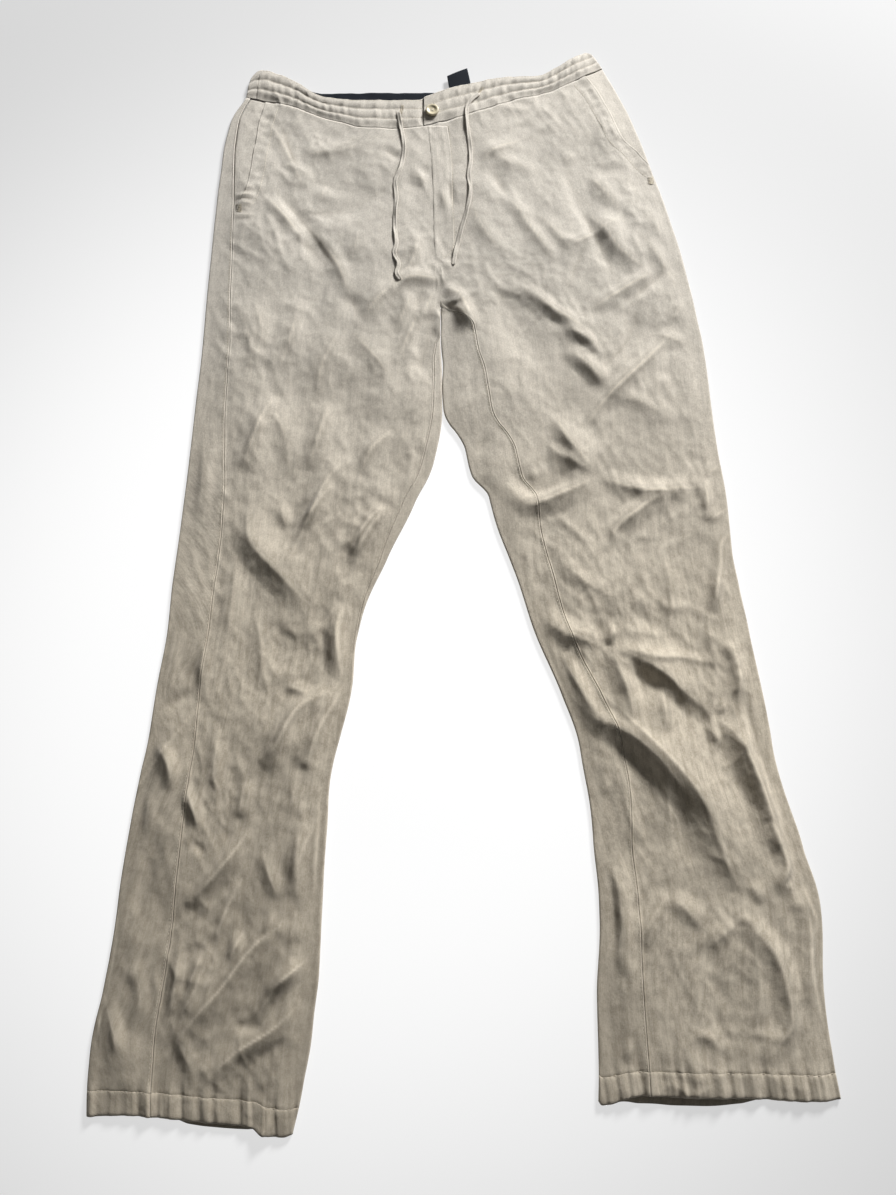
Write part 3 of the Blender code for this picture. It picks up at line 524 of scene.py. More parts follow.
BODY_CREASES = (
    Crease(((-200, 464), (-187, 426), (-178, 394)), -2.1, 12, 14),
    Crease(((-169, 418), (-138, 429), (-105, 446)), 1.2, 8, 9),
    Crease(((-175, 322), (-158, 302), (-140, 283)), -2.5, 10, 7),
    Crease(((-166, 337), (-148, 311), (-130, 283), (-115, 244)), 2.3, 7, 9),
    Crease(((-211, 369), (-195, 348), (-178, 328)), 1.4, 5, 6),
    Crease(((-172, 347), (-131, 352), (-97, 368), (-78, 382)), -2.1, 10, 12),
    Crease(((-76, 420), (-65, 417)), -0.8, 4, 4),
    Crease(((-12, 388), (-8, 353)), -1.7, 3, 3),
    Crease(((-20, 378), (-15, 353)), 0.9, 3, 3),
    Crease(((112, 409), (137, 339), (157, 290), (169, 261)), -2.1, 10, 6),
    Crease(((136, 353), (154, 328), (172, 301), (202, 278)), 2.9, 14, 12),
    Crease(((139, 395), (153, 380), (172, 350)), 2, 10, 8),
    Crease(((112, 412), (127, 423)), 0.7, 6, 6),
    Crease(((23, 409), (37, 424), (66, 438)), 1.7, 8, 6),
    Crease(((32, 407), (49, 369)), -1.7, 9, 9),
    Crease(((52, 367), (63, 350), (90, 306), (102, 290)), 2, 7, 7),
    Crease(((61, 351), (82, 347)), 0.8, 4, 4),
    Crease(((134, 312), (123, 284), (108, 242)), -1.4, 4, 4),
    Crease(((100, 317), (131, 312)), 1, 4, 5),
    Crease(((63, 263), (84, 238)), 1.1, 5, 5),
    Crease(((206, 278), (180, 261), (132, 230)), 1.8, 6, 6),
    Crease(((229, 287), (187, 250), (171, 221)), -1.5, 6, 6),
    Crease(((-121, 254), (-103, 220)), -1.5, 8, 8),
    Crease(((-70, 263), (-89, 241), (-103, 220)), 2.5, 9, 8),
    Crease(((-21, 261), (-29, 269), (-48, 270), (-64, 263), (-80, 243)), 2.5, 6, 7),
    Crease(((-16, 261), (-1, 248), (11, 221), (14, 207)), 2.9, 5, 7),
    Crease(((-38, 243), (-53, 208), (-65, 174)), 1.8, 7, 8),
    Crease(((-30, 232), (-38, 197)), -1.4, 6, 6),
    Crease(((-242, 375), (-222, 380)), 0.9, 3, 3),
    Crease(((-246, 367), (-222, 369)), 1.1, 3, 3),
    Crease(((-246, 358), (-224, 359)), 1, 3, 3),
    Crease(((-44, 326), (-52, 288), (-70, 264)), 1.4, 7, 7),
    Crease(((-108, 326), (-116, 288)), 1.2, 9, 9),
    Crease(((-142, 388), (-154, 363)), 0.9, 9, 9),
    Crease(((-170, 243), (-178, 197), (-190, 161)), 1.8, 11, 11),
    Crease(((-127, 208), (-144, 168), (-149, 129)), 2, 11, 11),
    Crease(((-217, 243), (-208, 208), (-211, 172)), 1.5, 8, 8),
    Crease(((205, 351), (216, 319)), 1, 6, 7),
    Crease(((236, 243), (222, 220)), 0.9, 6, 6),
    Crease(((10, 363), (23, 331), (42, 302)), 1.4, 8, 8),
    Crease(((203, 208), (239, 191)), 1.2, 6, 6),
    Crease(((88, 464), (110, 451)), 0.7, 7, 7),
    Crease(((-205, 380), (-176, 346), (-153, 314), (-130, 276)), -2, 9, 8),
    Crease(((-209, 368), (-184, 336), (-161, 305), (-146, 286)), 1, 5, 6),
    Crease(((-213, 468), (-191, 426), (-169, 375)), 1.6, 9, 7),
    Crease(((-173, 419), (-140, 424), (-107, 434)), 1.2, 7, 8),
    Crease(((-166, 393), (-129, 378), (-92, 370)), -1.2, 6, 7),
    Crease(((-86, 428), (-68, 418)), -0.8, 4, 4),
    Crease(((-57, 399), (-33, 384)), 1, 5, 6),
    Crease(((-30, 255), (-36, 236), (-43, 218)), 1.6, 6, 7),
    Crease(((-50, 253), (-60, 229), (-68, 206)), 1.5, 6, 7),
    Crease(((-39, 256), (-50, 233)), -1.1, 5, 5),
    Crease(((-32, 213), (-38, 183), (-45, 161)), -2.1, 10, 9),
    Crease(((-23, 227), (-16, 232), (-5, 233)), -3, 6, 5),
    Crease(((-16, 243), (0, 229), (12, 211)), 2.8, 5, 8),
    Crease(((-246, 368), (-234, 369), (-222, 364)), 1.2, 2.4, 2.8),
    Crease(((-246, 361), (-234, 361), (-223, 357)), 1.2, 2.6, 2.4),
    Crease(((-244, 352), (-235, 353), (-226, 350)), 0.9, 2.4, 2.6),
    Crease(((-247, 345), (-235, 344), (-222, 344)), 1.2, 2.6, 2.8),
    Crease(((203, 403), (207, 395)), 0.7, 3, 3),
    Crease(((36, 261), (48, 240), (58, 219)), -1.8, 12, 10),
    Crease(((65, 208), (78, 186), (83, 168)), -1.9, 12, 10),
    Crease(((53, 176), (67, 161)), -0.9, 9, 9),
    Crease(((106, 302), (139, 320), (174, 344)), 1.3, 6, 7),
    Crease(((75, 357), (102, 324), (127, 288)), 1.3, 7, 7),
    Crease(((193, 324), (215, 288), (232, 248)), 1.4, 6, 7),
    Crease(((22, 438), (49, 413), (87, 400)), 1.1, 7, 7),
    Crease(((147, 138), (184, 127), (220, 107)), 1.2, 7, 7),
    Crease(((-116, 208), (-93, 183), (-71, 152)), 1.3, 8, 8),
    Crease(((-196, 129), (-178, 86), (-173, 42)), 1.4, 9, 9),
    Crease(((-237, 243), (-220, 197), (-216, 152)), 1.2, 7, 7),
)

# Where the drawstring comes out, and the slit's direction. A slit is bound by two rows of short stitches.
SLITS = (((-65.0, 477.0), 1.4), ((22.5, 500.0), 1.1))
SLIT_ROWS = 7
SLIT_PITCH = 0.75
SLIT_OPENING = 0.35
SLIT_STITCH = 1.5
SLIT_THREAD = 0.36

# The fly's curved row of stitching from the band down, the band's rows, and how the fly's edge stands free.
FLY_STITCHING = (
    (-13.0, 459.0),
    (-10.0, 425.0),
    (-8.5, 390.0),
    (-8.5, 355.0),
    (-6.5, 315.0),
    (-12.0, 300.0),
    (-20.0, 293.0),
)
BAND_STITCHING = (1 / 3, 2 / 3, 0.965)
FLY_STAND = 0.2
FLY_FADE = 34.0
FLY_FREE = 0.72

# How far apart the button's threads end, and its half section as shares of its radius and height.
BUTTON_HOLE_SPREAD = 1.6
BUTTON_PROFILE = (
    (0.0, 0.0),
    (0.72, 0.0),
    (0.90, 0.10),
    (0.985, 0.32),
    (1.0, 0.55),
    (0.975, 0.80),
    (0.91, 0.96),
    (0.82, 1.0),
    (0.72, 0.95),
    (0.62, 0.80),
    (0.52, 0.62),
    (0.40, 0.52),
    (0.0, 0.50),
)

# The floor, the lights and the camera.
FLOOR_LEVEL = -0.3
FLOOR_BRIGHT_PLACE = (-0.10, -0.14)
FLOOR_FADE = (0.2, 0.85)

KEY_SIZE = 0.7
KEY_PLACE = (1.3, 2.3, 1.3)
FILL_SIZE = 2.0
FILL_PLACE = (0.4, 0.5, 2.4)

CAMERA_LENS = 28.62
CAMERA_TILT = 13.0
CAMERA_PLACE = (-0.0135, -0.2882, 0.9122)


def smooth_curve(table, at):
    """Reads a smooth curve, with no overshoot, through a table whose first column rises."""
    table = np.asarray(table, float)
    known = table[:, 0]
    values = table[:, 1:]
    secants = np.diff(values, axis=0) / np.diff(known)[:, None]
    product = secants[:-1] * secants[1:]
    total = secants[:-1] + secants[1:]
    between = np.where(product > 0, 2 * product / np.where(product > 0, total, 1), 0)
    slopes = np.concatenate([secants[:1], between, secants[-1:]])
    index = np.clip(np.searchsorted(known, at) - 1, 0, len(known) - 2)
    step = known[index + 1] - known[index]
    part = np.clip((at - known[index]) / step, 0, 1)[..., None]
    step = step[..., None]
    before = values[index] + slopes[index] * step * part
    after = values[index + 1] - slopes[index + 1] * step * (1 - part)
    blend = part * part * (3 - 2 * part)
    return before * (1 - blend) + after * blend


def smooth_route(points, count):
    """Evenly spaced points on a smooth route through a few given ones."""
    points = np.asarray(points, float)
    along = np.concatenate([[0], np.cumsum(np.hypot(*np.diff(points, axis=0).T))])
    padded = np.vstack([2 * points[0] - points[1], points, 2 * points[-1] - points[-2]])
    at = np.linspace(0, along[-1], count)
    index = np.clip(np.searchsorted(along, at) - 1, 0, len(points) - 2)
    part = ((at - along[index]) / (along[index + 1] - along[index]))[:, None]
    before, start, end, after = (padded[index + step] for step in range(4))
    curve = 2 * start + (end - before) * part
    curve += (2 * before - 5 * start + 4 * end - after) * part**2
    curve += (3 * start - before - 3 * end + after) * part**3
    return curve / 2


def soft_step(value):
    """Rises smoothly from 0 to 1 as the value does."""
    value = np.clip(value, 0, 1)
    return value * value * (3 - 2 * value)


def dent(distance, width):
    """A rounded bump of height 1 and the given half width."""
    return np.exp(-((distance / width) ** 2))


def soft_noise(x, y, cell, seed):
    """Smooth seeded noise between about -1 and 1, whose lumps are the size of a cell."""
    turns = np.random.default_rng(seed).uniform(0, 2 * math.pi, (NOISE_CELLS, NOISE_CELLS))
    column = np.asarray(x, float) / cell
    row = np.asarray(y, float) / cell
    left = np.floor(column).astype(int)
    low = np.floor(row).astype(int)
    across = column - left
    up = row - low

    def pull(right, above):
        turn = turns[(low + above) % NOISE_CELLS, (left + right) % NOISE_CELLS]
        return np.cos(turn) * (across - right) + np.sin(turn) * (up - above)

    blend_x = across**3 * (across * (6 * across - 15) + 10)
    blend_y = up**3 * (up * (6 * up - 15) + 10)
    lower = pull(0, 0) * (1 - blend_x) + pull(1, 0) * blend_x
    upper = pull(0, 1) * (1 - blend_x) + pull(1, 1) * blend_x
    return 1.5 * (lower * (1 - blend_y) + upper * blend_y)


def ridges(x, y, cell, seed):
    """Thin ridges between soft hollows, as on cloth that has been crumpled and pulled flat."""
    shift_x = soft_noise(x, y, 2.3 * cell, seed + 1)
    shift_y = soft_noise(x, y, 2.3 * cell, seed + 2)
    fold = soft_noise(x + 0.6 * cell * shift_x, y + 0.6 * cell * shift_y, cell, seed)
    return (1 - np.minimum(np.abs(fold) * 1.6, 1)) ** 2


def crease_lift(crease, x, y):
    """Lift of the cloth by one crease, sharp at its crest and fading out on each side and at both ends, and
    the painted light and shade of its crest line.
    """
    route = smooth_route(crease.route, CREASE_STEPS)
    nearest = np.full(x.shape, np.inf)
    part = np.zeros(x.shape)
    side = np.zeros(x.shape)
    for index, (start, end) in enumerate(zip(route, route[1:])):
        step = end - start
        length = np.hypot(*step)
        share = ((x - start[0]) * step[0] + (y - start[1]) * step[1]) / length**2
        share = np.clip(share, 0, 1)
        away_x = x - start[0] - share * step[0]
        away_y = y - start[1] - share * step[1]
        distance = np.hypot(away_x, away_y)
        closer = distance < nearest
        nearest = np.where(closer, distance, nearest)
        part = np.where(closer, (index + share) / (CREASE_STEPS - 1), part)
        side = np.where(closer, step[0] * away_y - step[1] * away_x, side)
    reach = FLANK * np.where(side > 0, crease.left, crease.right)
    down_flank = (np.hypot(nearest, CREST) - CREST) / reach
    fall = np.clip(1 - down_flank, 0, 1) ** FLANK_CURVE
    taper = np.sin(math.pi * np.clip(part, 0, 1)) ** CREASE_TAPER
    # The pale crest line is partly wear and partly painted highlight; a raised crease also gets a band of
    # painted shade beside it.
    crest = dent(nearest, CREST_LINE)
    if crease.rise > 0:
        crest = crest - PAINTED_HOLLOW_SHADE * dent(nearest - 2.2 * CREST_LINE, 1.3 * CREST_LINE)
    return crease.rise * taper * fall, taper * crest


class ReliefMap:
    """Heights of the creased cloth, and the painted light and shade of its creases, on an even grid over the
    whole garment, read between its points.
    """

    def __init__(self, crease_scale, lump_height, crumple_height):
        width, depth = MAP_SIZE
        self.xs = np.arange(-width / 2, width / 2 + MAP_STEP, MAP_STEP)
        self.ys = np.arange(-depth / 2, depth / 2 + MAP_STEP, MAP_STEP)
        x, y = np.meshgrid(self.xs, self.ys)
        calm = CALM_AT_WAIST + CALM_GAIN * soft_step((CALM_FROM - y) / CALM_OVER)
        self.heights = np.zeros(x.shape)
        for lump in LUMPS:
            height = lump.share * lump_height * (calm if lump.calmed else 1.0)
            self.heights += height * soft_noise(x, y * lump.stretch, lump.cell, lump.seed)
        patchy = calm * np.clip(0.4 + 1.1 * soft_noise(x, y, 75, 13), 0.05, 1)
        for crumple in CRUMPLES:
            height = crumple.share * crumple_height * patchy
            self.heights += height * ridges(x, y * crumple.stretch, crumple.cell, crumple.seed)
        for streak in STREAKS:
            across = x * math.cos(streak.slant) + y * math.sin(streak.slant)
            along = y * math.cos(streak.slant) - x * math.sin(streak.slant)
            streaky = calm * np.clip(0.3 + 1.2 * soft_noise(x, y, 90, streak.seed + 5), 0, 1)
            height = STREAK_SHARE * crumple_height * streaky
            self.heights += height * ridges(across, along * STREAK_STRETCH, STREAK_CELL, streak.seed)
        self.crests = np.zeros(x.shape)
        for crease in BODY_CREASES + LEFT_LEG_CREASES + RIGHT_LEG_CREASES:
            self.add(crease, crease_scale)

    def add(self, crease, scale):
        """Adds one crease where it reaches."""
        route = np.asarray(crease.route, float)
        margin = 1.3 * FLANK * max(crease.left, crease.right)
        low_x, low_y = route.min(axis=0) - margin
        high_x, high_y = route.max(axis=0) + margin
        columns = slice(*np.searchsorted(self.xs, (low_x, high_x)))
        rows = slice(*np.searchsorted(self.ys, (low_y, high_y)))
        x, y = np.meshgrid(self.xs[columns], self.ys[rows])
        lift, crest = crease_lift(crease, x, y)
        self.heights[rows, columns] += scale * lift
        # Painted light and shade: positive on a raised crest's pale line, negative in the painted shade
        # beside it and along a trough.
        self.crests[rows, columns] += np.clip(crease.rise / FULL_WEAR_AND_PAINT_RISE, -1, 1) * crest

    def height_at(self, x, y):
        """How high the creased cloth stands, in millimetres."""
        return self.read(self.heights, x, y)

    def wear_and_painted_light_at(self, x, y):
        """The painted light of the creases: above 0 a pale crest line, partly wear and partly painted
        highlight, and below 0 painted shade beside crests and along troughs.
        """
        return self.read(self.crests, x, y)

    def read(self, grid, x, y):
        """Values of a grid between its points."""
        column = np.clip((x - self.xs[0]) / MAP_STEP, 0, len(self.xs) - 1.001)
        row = np.clip((y - self.ys[0]) / MAP_STEP, 0, len(self.ys) - 1.001)
        left = column.astype(int)
        low = row.astype(int)
        right_share = column - left
        up_share = row - low
        lower = grid[low, left] * (1 - right_share) + grid[low, left + 1] * right_share
        upper = grid[low + 1, left] * (1 - right_share) + grid[low + 1, left + 1] * right_share
        return lower * (1 - up_share) + upper * up_share


@functools.lru_cache(maxsize=1)
def relief_map(crease_scale, lump_height, crumple_height):
    return ReliefMap(crease_scale, lump_height, crumple_height)


def cloth_relief():
    """The garment's creases at the sizes set in the sidebar."""
    sizes = bpy.context.scene.trouser_sizes
    return relief_map(sizes.crease_scale, sizes.lump_height / MM, sizes.crumple_height / MM)


def waist_seam(x):
    """Height of the seam under the waistband."""
    return smooth_curve(WAIST_SEAM, np.asarray(x, float))[..., 0]


def waist_dip(top, x):
    """How far the waist's seam dips below a straight line across one half of the garment."""
    inside = np.clip(x, min(top.out_x, top.in_x), max(top.out_x, top.in_x))
    straight = top.out_y + (top.in_y - top.out_y) * (inside - top.out_x) / (top.in_x - top.out_x)
    return waist_seam(inside) - straight


def back_waist_seam(x):
    """The back's seam under the waistband is nearly straight on each half."""
    right, left = RIGHT_SECTIONS[0], LEFT_SECTIONS[0]
    dip = np.where(x < right.in_x, waist_dip(right, x), waist_dip(left, x))
    return waist_seam(x) - (1 - BACK_CURVE_SHARE) * dip


@functools.lru_cache(maxsize=4)
def leg_tables(leg):
    """Distance down the outer edge, and each section's values beside it."""
    sections = np.asarray(leg.sections, float)
    steps = np.hypot(*np.diff(sections[:, :2], axis=0).T)
    down = np.concatenate([[0], np.cumsum(steps)])
    return np.column_stack([down, sections])


def leg_length(leg):
    return leg_tables(leg)[-1, 0]


class Course:
    """One row of cloth across the part, from its outer edge to its inner one, and the way round it."""

    def __init__(self, point_at, length, closed=1.0):
        self.point_at = point_at
        self.length = length
        self.inner_reach = EDGE_RADIUS * closed
        self.flat = length - EDGE_RADIUS - self.inner_reach
        self.tip = EDGE_TURN + self.flat
        self.round = 2 * self.tip

    def unroll(self, place):
        """Distance across and height of a place on the section."""
        place = np.where(place > self.round - HALF_TURN, place - self.round, place)
        place = np.where(place < -HALF_TURN - self.flat, place + self.round, place)
        turn = np.clip(place, -HALF_TURN, HALF_TURN) / EDGE_RADIUS
        far_turn = np.clip(place - HALF_TURN - self.flat, 0, EDGE_TURN) / EDGE_RADIUS
        over = np.clip(place - HALF_TURN, 0, self.flat)
        beneath = np.clip(place - 3 * HALF_TURN - self.flat, 0, self.flat)
        under = np.clip(-HALF_TURN - place, 0, self.flat)
        across = EDGE_RADIUS * (1 - np.cos(turn)) + over - beneath + under
        across = across + self.inner_reach * np.sin(far_turn)
        height = EDGE_RADIUS * (1 + np.sin(turn)) + EDGE_RADIUS * (np.cos(far_turn) - 1)
        return across, height

    def surface(self, place, lift, detail=0.0, under_lift=None):
        """Points of the cloth's outer face. The lift raises the top alone, and the detail stands on it."""
        across, height = self.unroll(place)
        level = height / TOP_LEVEL
        x, y = self.point_at(across / self.length, level)
        edge = soft_step((across - EDGE_RADIUS) / FOLD_FADE)
        if self.inner_reach:
            open_edge = 1 - self.inner_reach / EDGE_RADIUS
            edge = edge * np.maximum(soft_step((self.length - across - EDGE_RADIUS) / FOLD_FADE), open_edge)
        raised = edge * lift(x, y)
        raised = np.maximum(raised, HOLLOW_SHARE * raised - HOLLOW_DEPTH)
        height = height * (1 + raised / TOP_LEVEL) + level * detail
        if under_lift is not None:
            height = height + (1 - level) * edge * under_lift(x, y)
        return np.column_stack([x, y, height])


def leg_course(leg, down):
    """The section of a leg at a distance down its outer edge."""
    out_x, out_y, in_x, in_y, out_seam, in_seam = smooth_curve(leg_tables(leg), np.array([down]))[0]
    nudges = np.asarray(leg.nudges, float)
    out_x += smooth_curve(nudges, np.array([out_y]))[0, 0]
    in_x += smooth_curve(nudges, np.array([in_y]))[0, 1]
    top = leg.sections[0]
    curve = np.clip(1 - down / WAIST_CURVE_REACH, 0, 1) ** 2
    lowest = np.clip(1 - (leg_length(leg) - down) / HEM_FADE, 0, 1)
    peeking = np.clip(1 - (leg_length(leg) - down) / HEM_DEPTH, 0, 1)

    def point_at(part, level):
        x = out_x + (in_x - out_x) * part
        share = BACK_CURVE_SHARE + (1 - BACK_CURVE_SHARE) * level
        y = out_y + (in_y - out_y) * part + curve * share * waist_dip(top, x)
        part = np.clip(part, 0, 1)
        y = y + lowest * smooth_curve(leg.hem_line, part)[..., 0]
        y = y - peeking * (1 - level) * smooth_curve(leg.hem_peek, part)[..., 0]
        return x, y

    past = down - leg.crotch
    course = Course(point_at, abs(in_x - out_x), closed=float(soft_step(past / CROTCH_STEP)))
    course.out_seam = out_seam
    in_seam = in_seam * float(soft_step(past / SEAM_RAMP)) if past > 0 else 0.0
    joined = float(soft_step(1 + past / CROTCH_STEP))
    short = HALF_TURN if past < CROTCH_STEP else HALF_TURN * max(0, 2 - past / CROTCH_STEP)
    course.front_end = course.tip - short - in_seam
    course.back_start = (course.tip + HALF_TURN) * (1 - joined) + course.front_end * joined
    return course


def pocket_edge(leg, down):
    """Place of the pocket's edge at one height, running into the side seam just below the pocket."""
    end, last = leg.pocket[-1]
    if down > end + POCKET_RUNOUT:
        return None
    opening = float(smooth_curve(leg.pocket, np.array([down]))[0, 0])
    if down <= end:
        return opening
    seam = smooth_curve(leg_tables(leg), np.array([down]))[0, 4]
    return last + (seam - last) * float(soft_step((down - end) / POCKET_RUNOUT))


def column_places(start, stops, end, steps):
    """Places across a panel, with a fixed number of steps in each stretch, however short it is."""
    bounds = [start]
    for number, stop in enumerate(stops, 1):
        low = bounds[-1] + LEAST_STEP * steps[number - 1]
        high = end - LEAST_STEP * sum(steps[number:])
        bounds.append(min(max(stop, low), high))
    bounds.append(end)
    places = [np.linspace(a, b, count + 1)[:-1] for a, b, count in zip(bounds, bounds[1:], steps)]
    return np.concatenate(places + [[end]])


def seam_lip(distance, down, seed):
    """A seam's edge: a thin raised lip that dives into the seam, puckered along its length."""
    pucker = 1 + 0.4 * soft_noise(down, 3.5, 6.5, seed)
    return pucker * (0.4 * dent(distance - 0.9, 0.6) - 0.3 * dent(distance, 0.4))


def flat_size(points):
    """Width, length and area of a grid of points as if it were spread flat."""
    across = np.linalg.norm(np.diff(points, axis=1), axis=2)
    down = np.linalg.norm(np.diff(points, axis=0), axis=2)
    sides = np.cross(np.diff(points, axis=1)[:-1], np.diff(points, axis=0)[:, :-1])
    area = np.linalg.norm(sides, axis=2).sum()
    return across.sum(axis=1).max(), down.sum(axis=0).max(), area


class ClothGrid:
    """Rows of points on a piece of cloth, each point with its place across and its distance down."""

    def __init__(self):
        self.rows = []
        self.measures = []

    def add(self, points, places, down):
        self.rows.append(points)
        self.measures.append(np.column_stack([places, np.full(len(places), down)]))

    def points(self):
        return np.array(self.rows)


def add_piece(name, mesh, finish, thickness=None):
    """Makes an object of a mesh, with its finish, and joins it to the garment's body."""
    piece = bpy.data.objects.new(name, mesh)
    bpy.context.scene.collection.objects.link(piece)
    mesh.materials.append(finish)
    if thickness:
        wall = piece.modifiers.new("thickness", "SOLIDIFY")
        wall.thickness = thickness * MM
        wall.offset = -1
    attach(piece, BODY)
    return piece


def cloth_piece(node, grid, thickness, finish, turned=False):
    """A thin shell of cloth in the place of its solid, with its own width and length for the weave."""
    name = "cloth_" + node
    points = grid.points()
    rows, columns = points.shape[:2]
    made = bmesh.new()
    bmesh.ops.create_grid(made, x_segments=columns - 1, y_segments=rows - 1, size=1)
    for vertex, point in zip(made.verts, points.reshape(-1, 3) * MM):
        vertex.co = point
    if turned:
        bmesh.ops.reverse_faces(made, faces=made.faces)
    mesh = bpy.data.meshes.new(name)
    made.to_mesh(mesh)
    made.free()
    layer = mesh.uv_layers.new(name="cloth")
    corners = np.zeros(len(mesh.loops), int)
    mesh.loops.foreach_get("vertex_index", corners)
    layer.data.foreach_set("uv", (np.array(grid.measures).reshape(-1, 2) * MM)[corners].ravel())
    mesh.shade_smooth()
    flat_points = points.reshape(-1, 3)
    # Painted light and shade of the creases, on the top face alone: pale crest lines, partly wear and partly
    # painted highlight, and painted shade beside them and along troughs.
    wear_and_painted_light = mesh.attributes.new("crease_wear_and_painted_light", "FLOAT", "POINT")
    on_top = soft_step((flat_points[:, 2] - 1.5) / 2)
    wear_and_painted_light.data.foreach_set("value", on_top * cloth_relief().wear_and_painted_light_at(flat_points[:, 0], flat_points[:, 1]))
    piece = add_piece(name, mesh, finish, thickness)
    width, length, area = flat_size(points)
    area = min(area, width * length)
    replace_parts(piece, node)


def panel_lift(x, y):
    """Lift of a panel's top above its edges."""
    return PUFF + cloth_relief().height_at(x, y)


def hidden_lift(x, y):
    """Small creases of the cloth that lies beneath."""
    return np.clip(0.1 * cloth_relief().height_at(-x, y) + 0.12, 0, 0.9)


def front_places(leg, course, down, steps):
    """Places across a front panel, from its pocket or outseam to the centre or inseam."""
    edge = pocket_edge(leg, down)
    start = course.out_seam if edge is None else edge
    end = course.front_end
    turn = course.tip if leg.side == "right" else 0.0
    stops = (start + SEAM_REACH, turn - HALF_TURN, turn + HALF_TURN, end - SEAM_REACH)
    return column_places(start, stops, end, steps)


def back_places(leg, course, down, steps):
    """Places across a back panel, from the inseam or the centre, beneath, and up to the outseam."""
    start = course.back_start
    end = course.round + course.out_seam
    stops = (start + SEAM_REACH, course.tip - HALF_TURN, course.tip + HALF_TURN)
    if leg.side == "right":
        stops += (course.round - HALF_TURN, course.round + HALF_TURN)
    stops += (end - SEAM_REACH,)
    return column_places(start, stops, end, steps)


def pocket_detail(leg, distance, down):
    """The pocket's edge has a row of stitching set in from it, with dimples between the two."""
    end = leg.pocket[-1][0]
    held = soft_step((end + POCKET_HELD - down) / POCKET_HELD_FADE)
    from_stitch = distance - POCKET_STITCH
    groove = -STITCH_DIP * dent(from_stitch, 0.9) + 0.25 * dent(from_stitch + 2.2, 1.2)
    wave = math.cos(2 * math.pi * down / DIMPLE_PITCH + 1.3 * float(soft_noise(down, 0.5, 30, 61)))
    dimples = -DIMPLE_DEPTH * dent(distance - DIMPLE_PLACE, DIMPLE_WIDTH) * (0.5 + 0.5 * wave)
    drop = -POCKET_EDGE_DROP * (1 - soft_step(distance / 4))
    return held * (groove + dimples + drop)


def hem_ripple(place, side):
    """Uneven ripples along a hem."""
    seed = 71 if side == "right" else 72
    wide = soft_noise(place, 0.5, HEM_RIPPLE_LENGTH, seed)
    fine = soft_noise(place, 9.5, 0.4 * HEM_RIPPLE_LENGTH, seed + 5)
    return wide + 0.35 * fine


def turned_up(leg, course, part):
    """The distance to take off the back's places, so that its ripples stay in line with the leg's edge."""
    return course.round if part == "back" and leg.side == "right" else 0.0


def above_hem(leg, part, places, down):
    """The cloth just above a hem takes up the hem's ripples and dips to its stitching."""
    rise = leg_length(leg) - HEM_DEPTH - down
    if rise > HEM_RIPPLE_REACH:
        return 0.0
    start = turned_up(leg, leg_course(leg, down), part)
    ripple = HEM_RIPPLE * hem_ripple(places - start, leg.side) * math.exp(-rise / HEM_RIPPLE_FADE)
    edge = 0.5 * HEM_RISE * math.exp(-rise / 2.5)
    return ripple + edge - STITCH_DIP * dent(rise, HEM_STITCH_WIDTH)


def front_detail(leg, places, down):
    """What stands on a front panel: its seams' edges, the pocket's edge and the hem's ripples."""
    from_start = places - places[0]
    from_end = places[-1] - places
    detail = seam_lip(from_start, down, 81) + above_hem(leg, "front", places, down)
    if down > leg.crotch:
        detail = detail + seam_lip(from_end, down, 82)
    return detail + pocket_detail(leg, from_start, down)


def back_detail(leg, places, down):
    """What stands on a back panel: its seams' edges and the hem's ripples."""
    from_start = places - places[0]
    from_end = places[-1] - places
    detail = seam_lip(from_end, down, 83) + above_hem(leg, "back", places, down)
    if down > leg.crotch:
        detail = detail + seam_lip(from_start, down, 84)
    return detail


def panel_rows(leg, count):
    """Rows of a panel from the waist to its hem, close together at the hem's stitching."""
    length = leg_length(leg) - HEM_DEPTH
    return np.concatenate([np.linspace(0, length - HEM_END_ROOM, count), length - np.array(HEM_ROWS)])


def add_panel(leg, part, count, steps):
    """A front panel, or a back one, which lies beneath and turns up over the edges of the leg."""
    places_of, detail_of = {"front": (front_places, front_detail), "back": (back_places, back_detail)}[part]
    grid = ClothGrid()
    for down in panel_rows(leg, count):
        course = leg_course(leg, down)
        places = places_of(leg, course, down, steps)
        detail = detail_of(leg, places, down)
        grid.add(course.surface(places, panel_lift, detail, hidden_lift), places, down)
    cloth_piece(f"{part}_{leg.side}", grid, cloth_thickness(), cotton_finish(), leg.side == "right")


def add_pocket_facing(leg, count, steps):
    """The cloth that shows behind a pocket's edge, a little lower than the panels on its two sides."""
    grid = ClothGrid()
    for down in np.linspace(0, leg.pocket[-1][0] + 0.7 * POCKET_RUNOUT, count):
        course = leg_course(leg, down)
        start = course.out_seam
        end = pocket_edge(leg, down) + POCKET_UNDERLAP
        stops = () if leg.side == "right" else (-HALF_TURN, HALF_TURN)
        places = column_places(start, stops, end, steps)
        beneath = soft_step((places - end + POCKET_UNDERLAP) / 2)
        detail = 0.7 * seam_lip(places - start, down, 85)
        detail = detail - SINK_OF_POCKET - 1.1 * POCKET_EDGE_DROP * beneath
        grid.add(course.surface(places, panel_lift, detail, hidden_lift), places, down)
    node = "pocket_facing_" + leg.side
    cloth_piece(node, grid, cloth_thickness(), cotton_finish(), leg.side == "right")


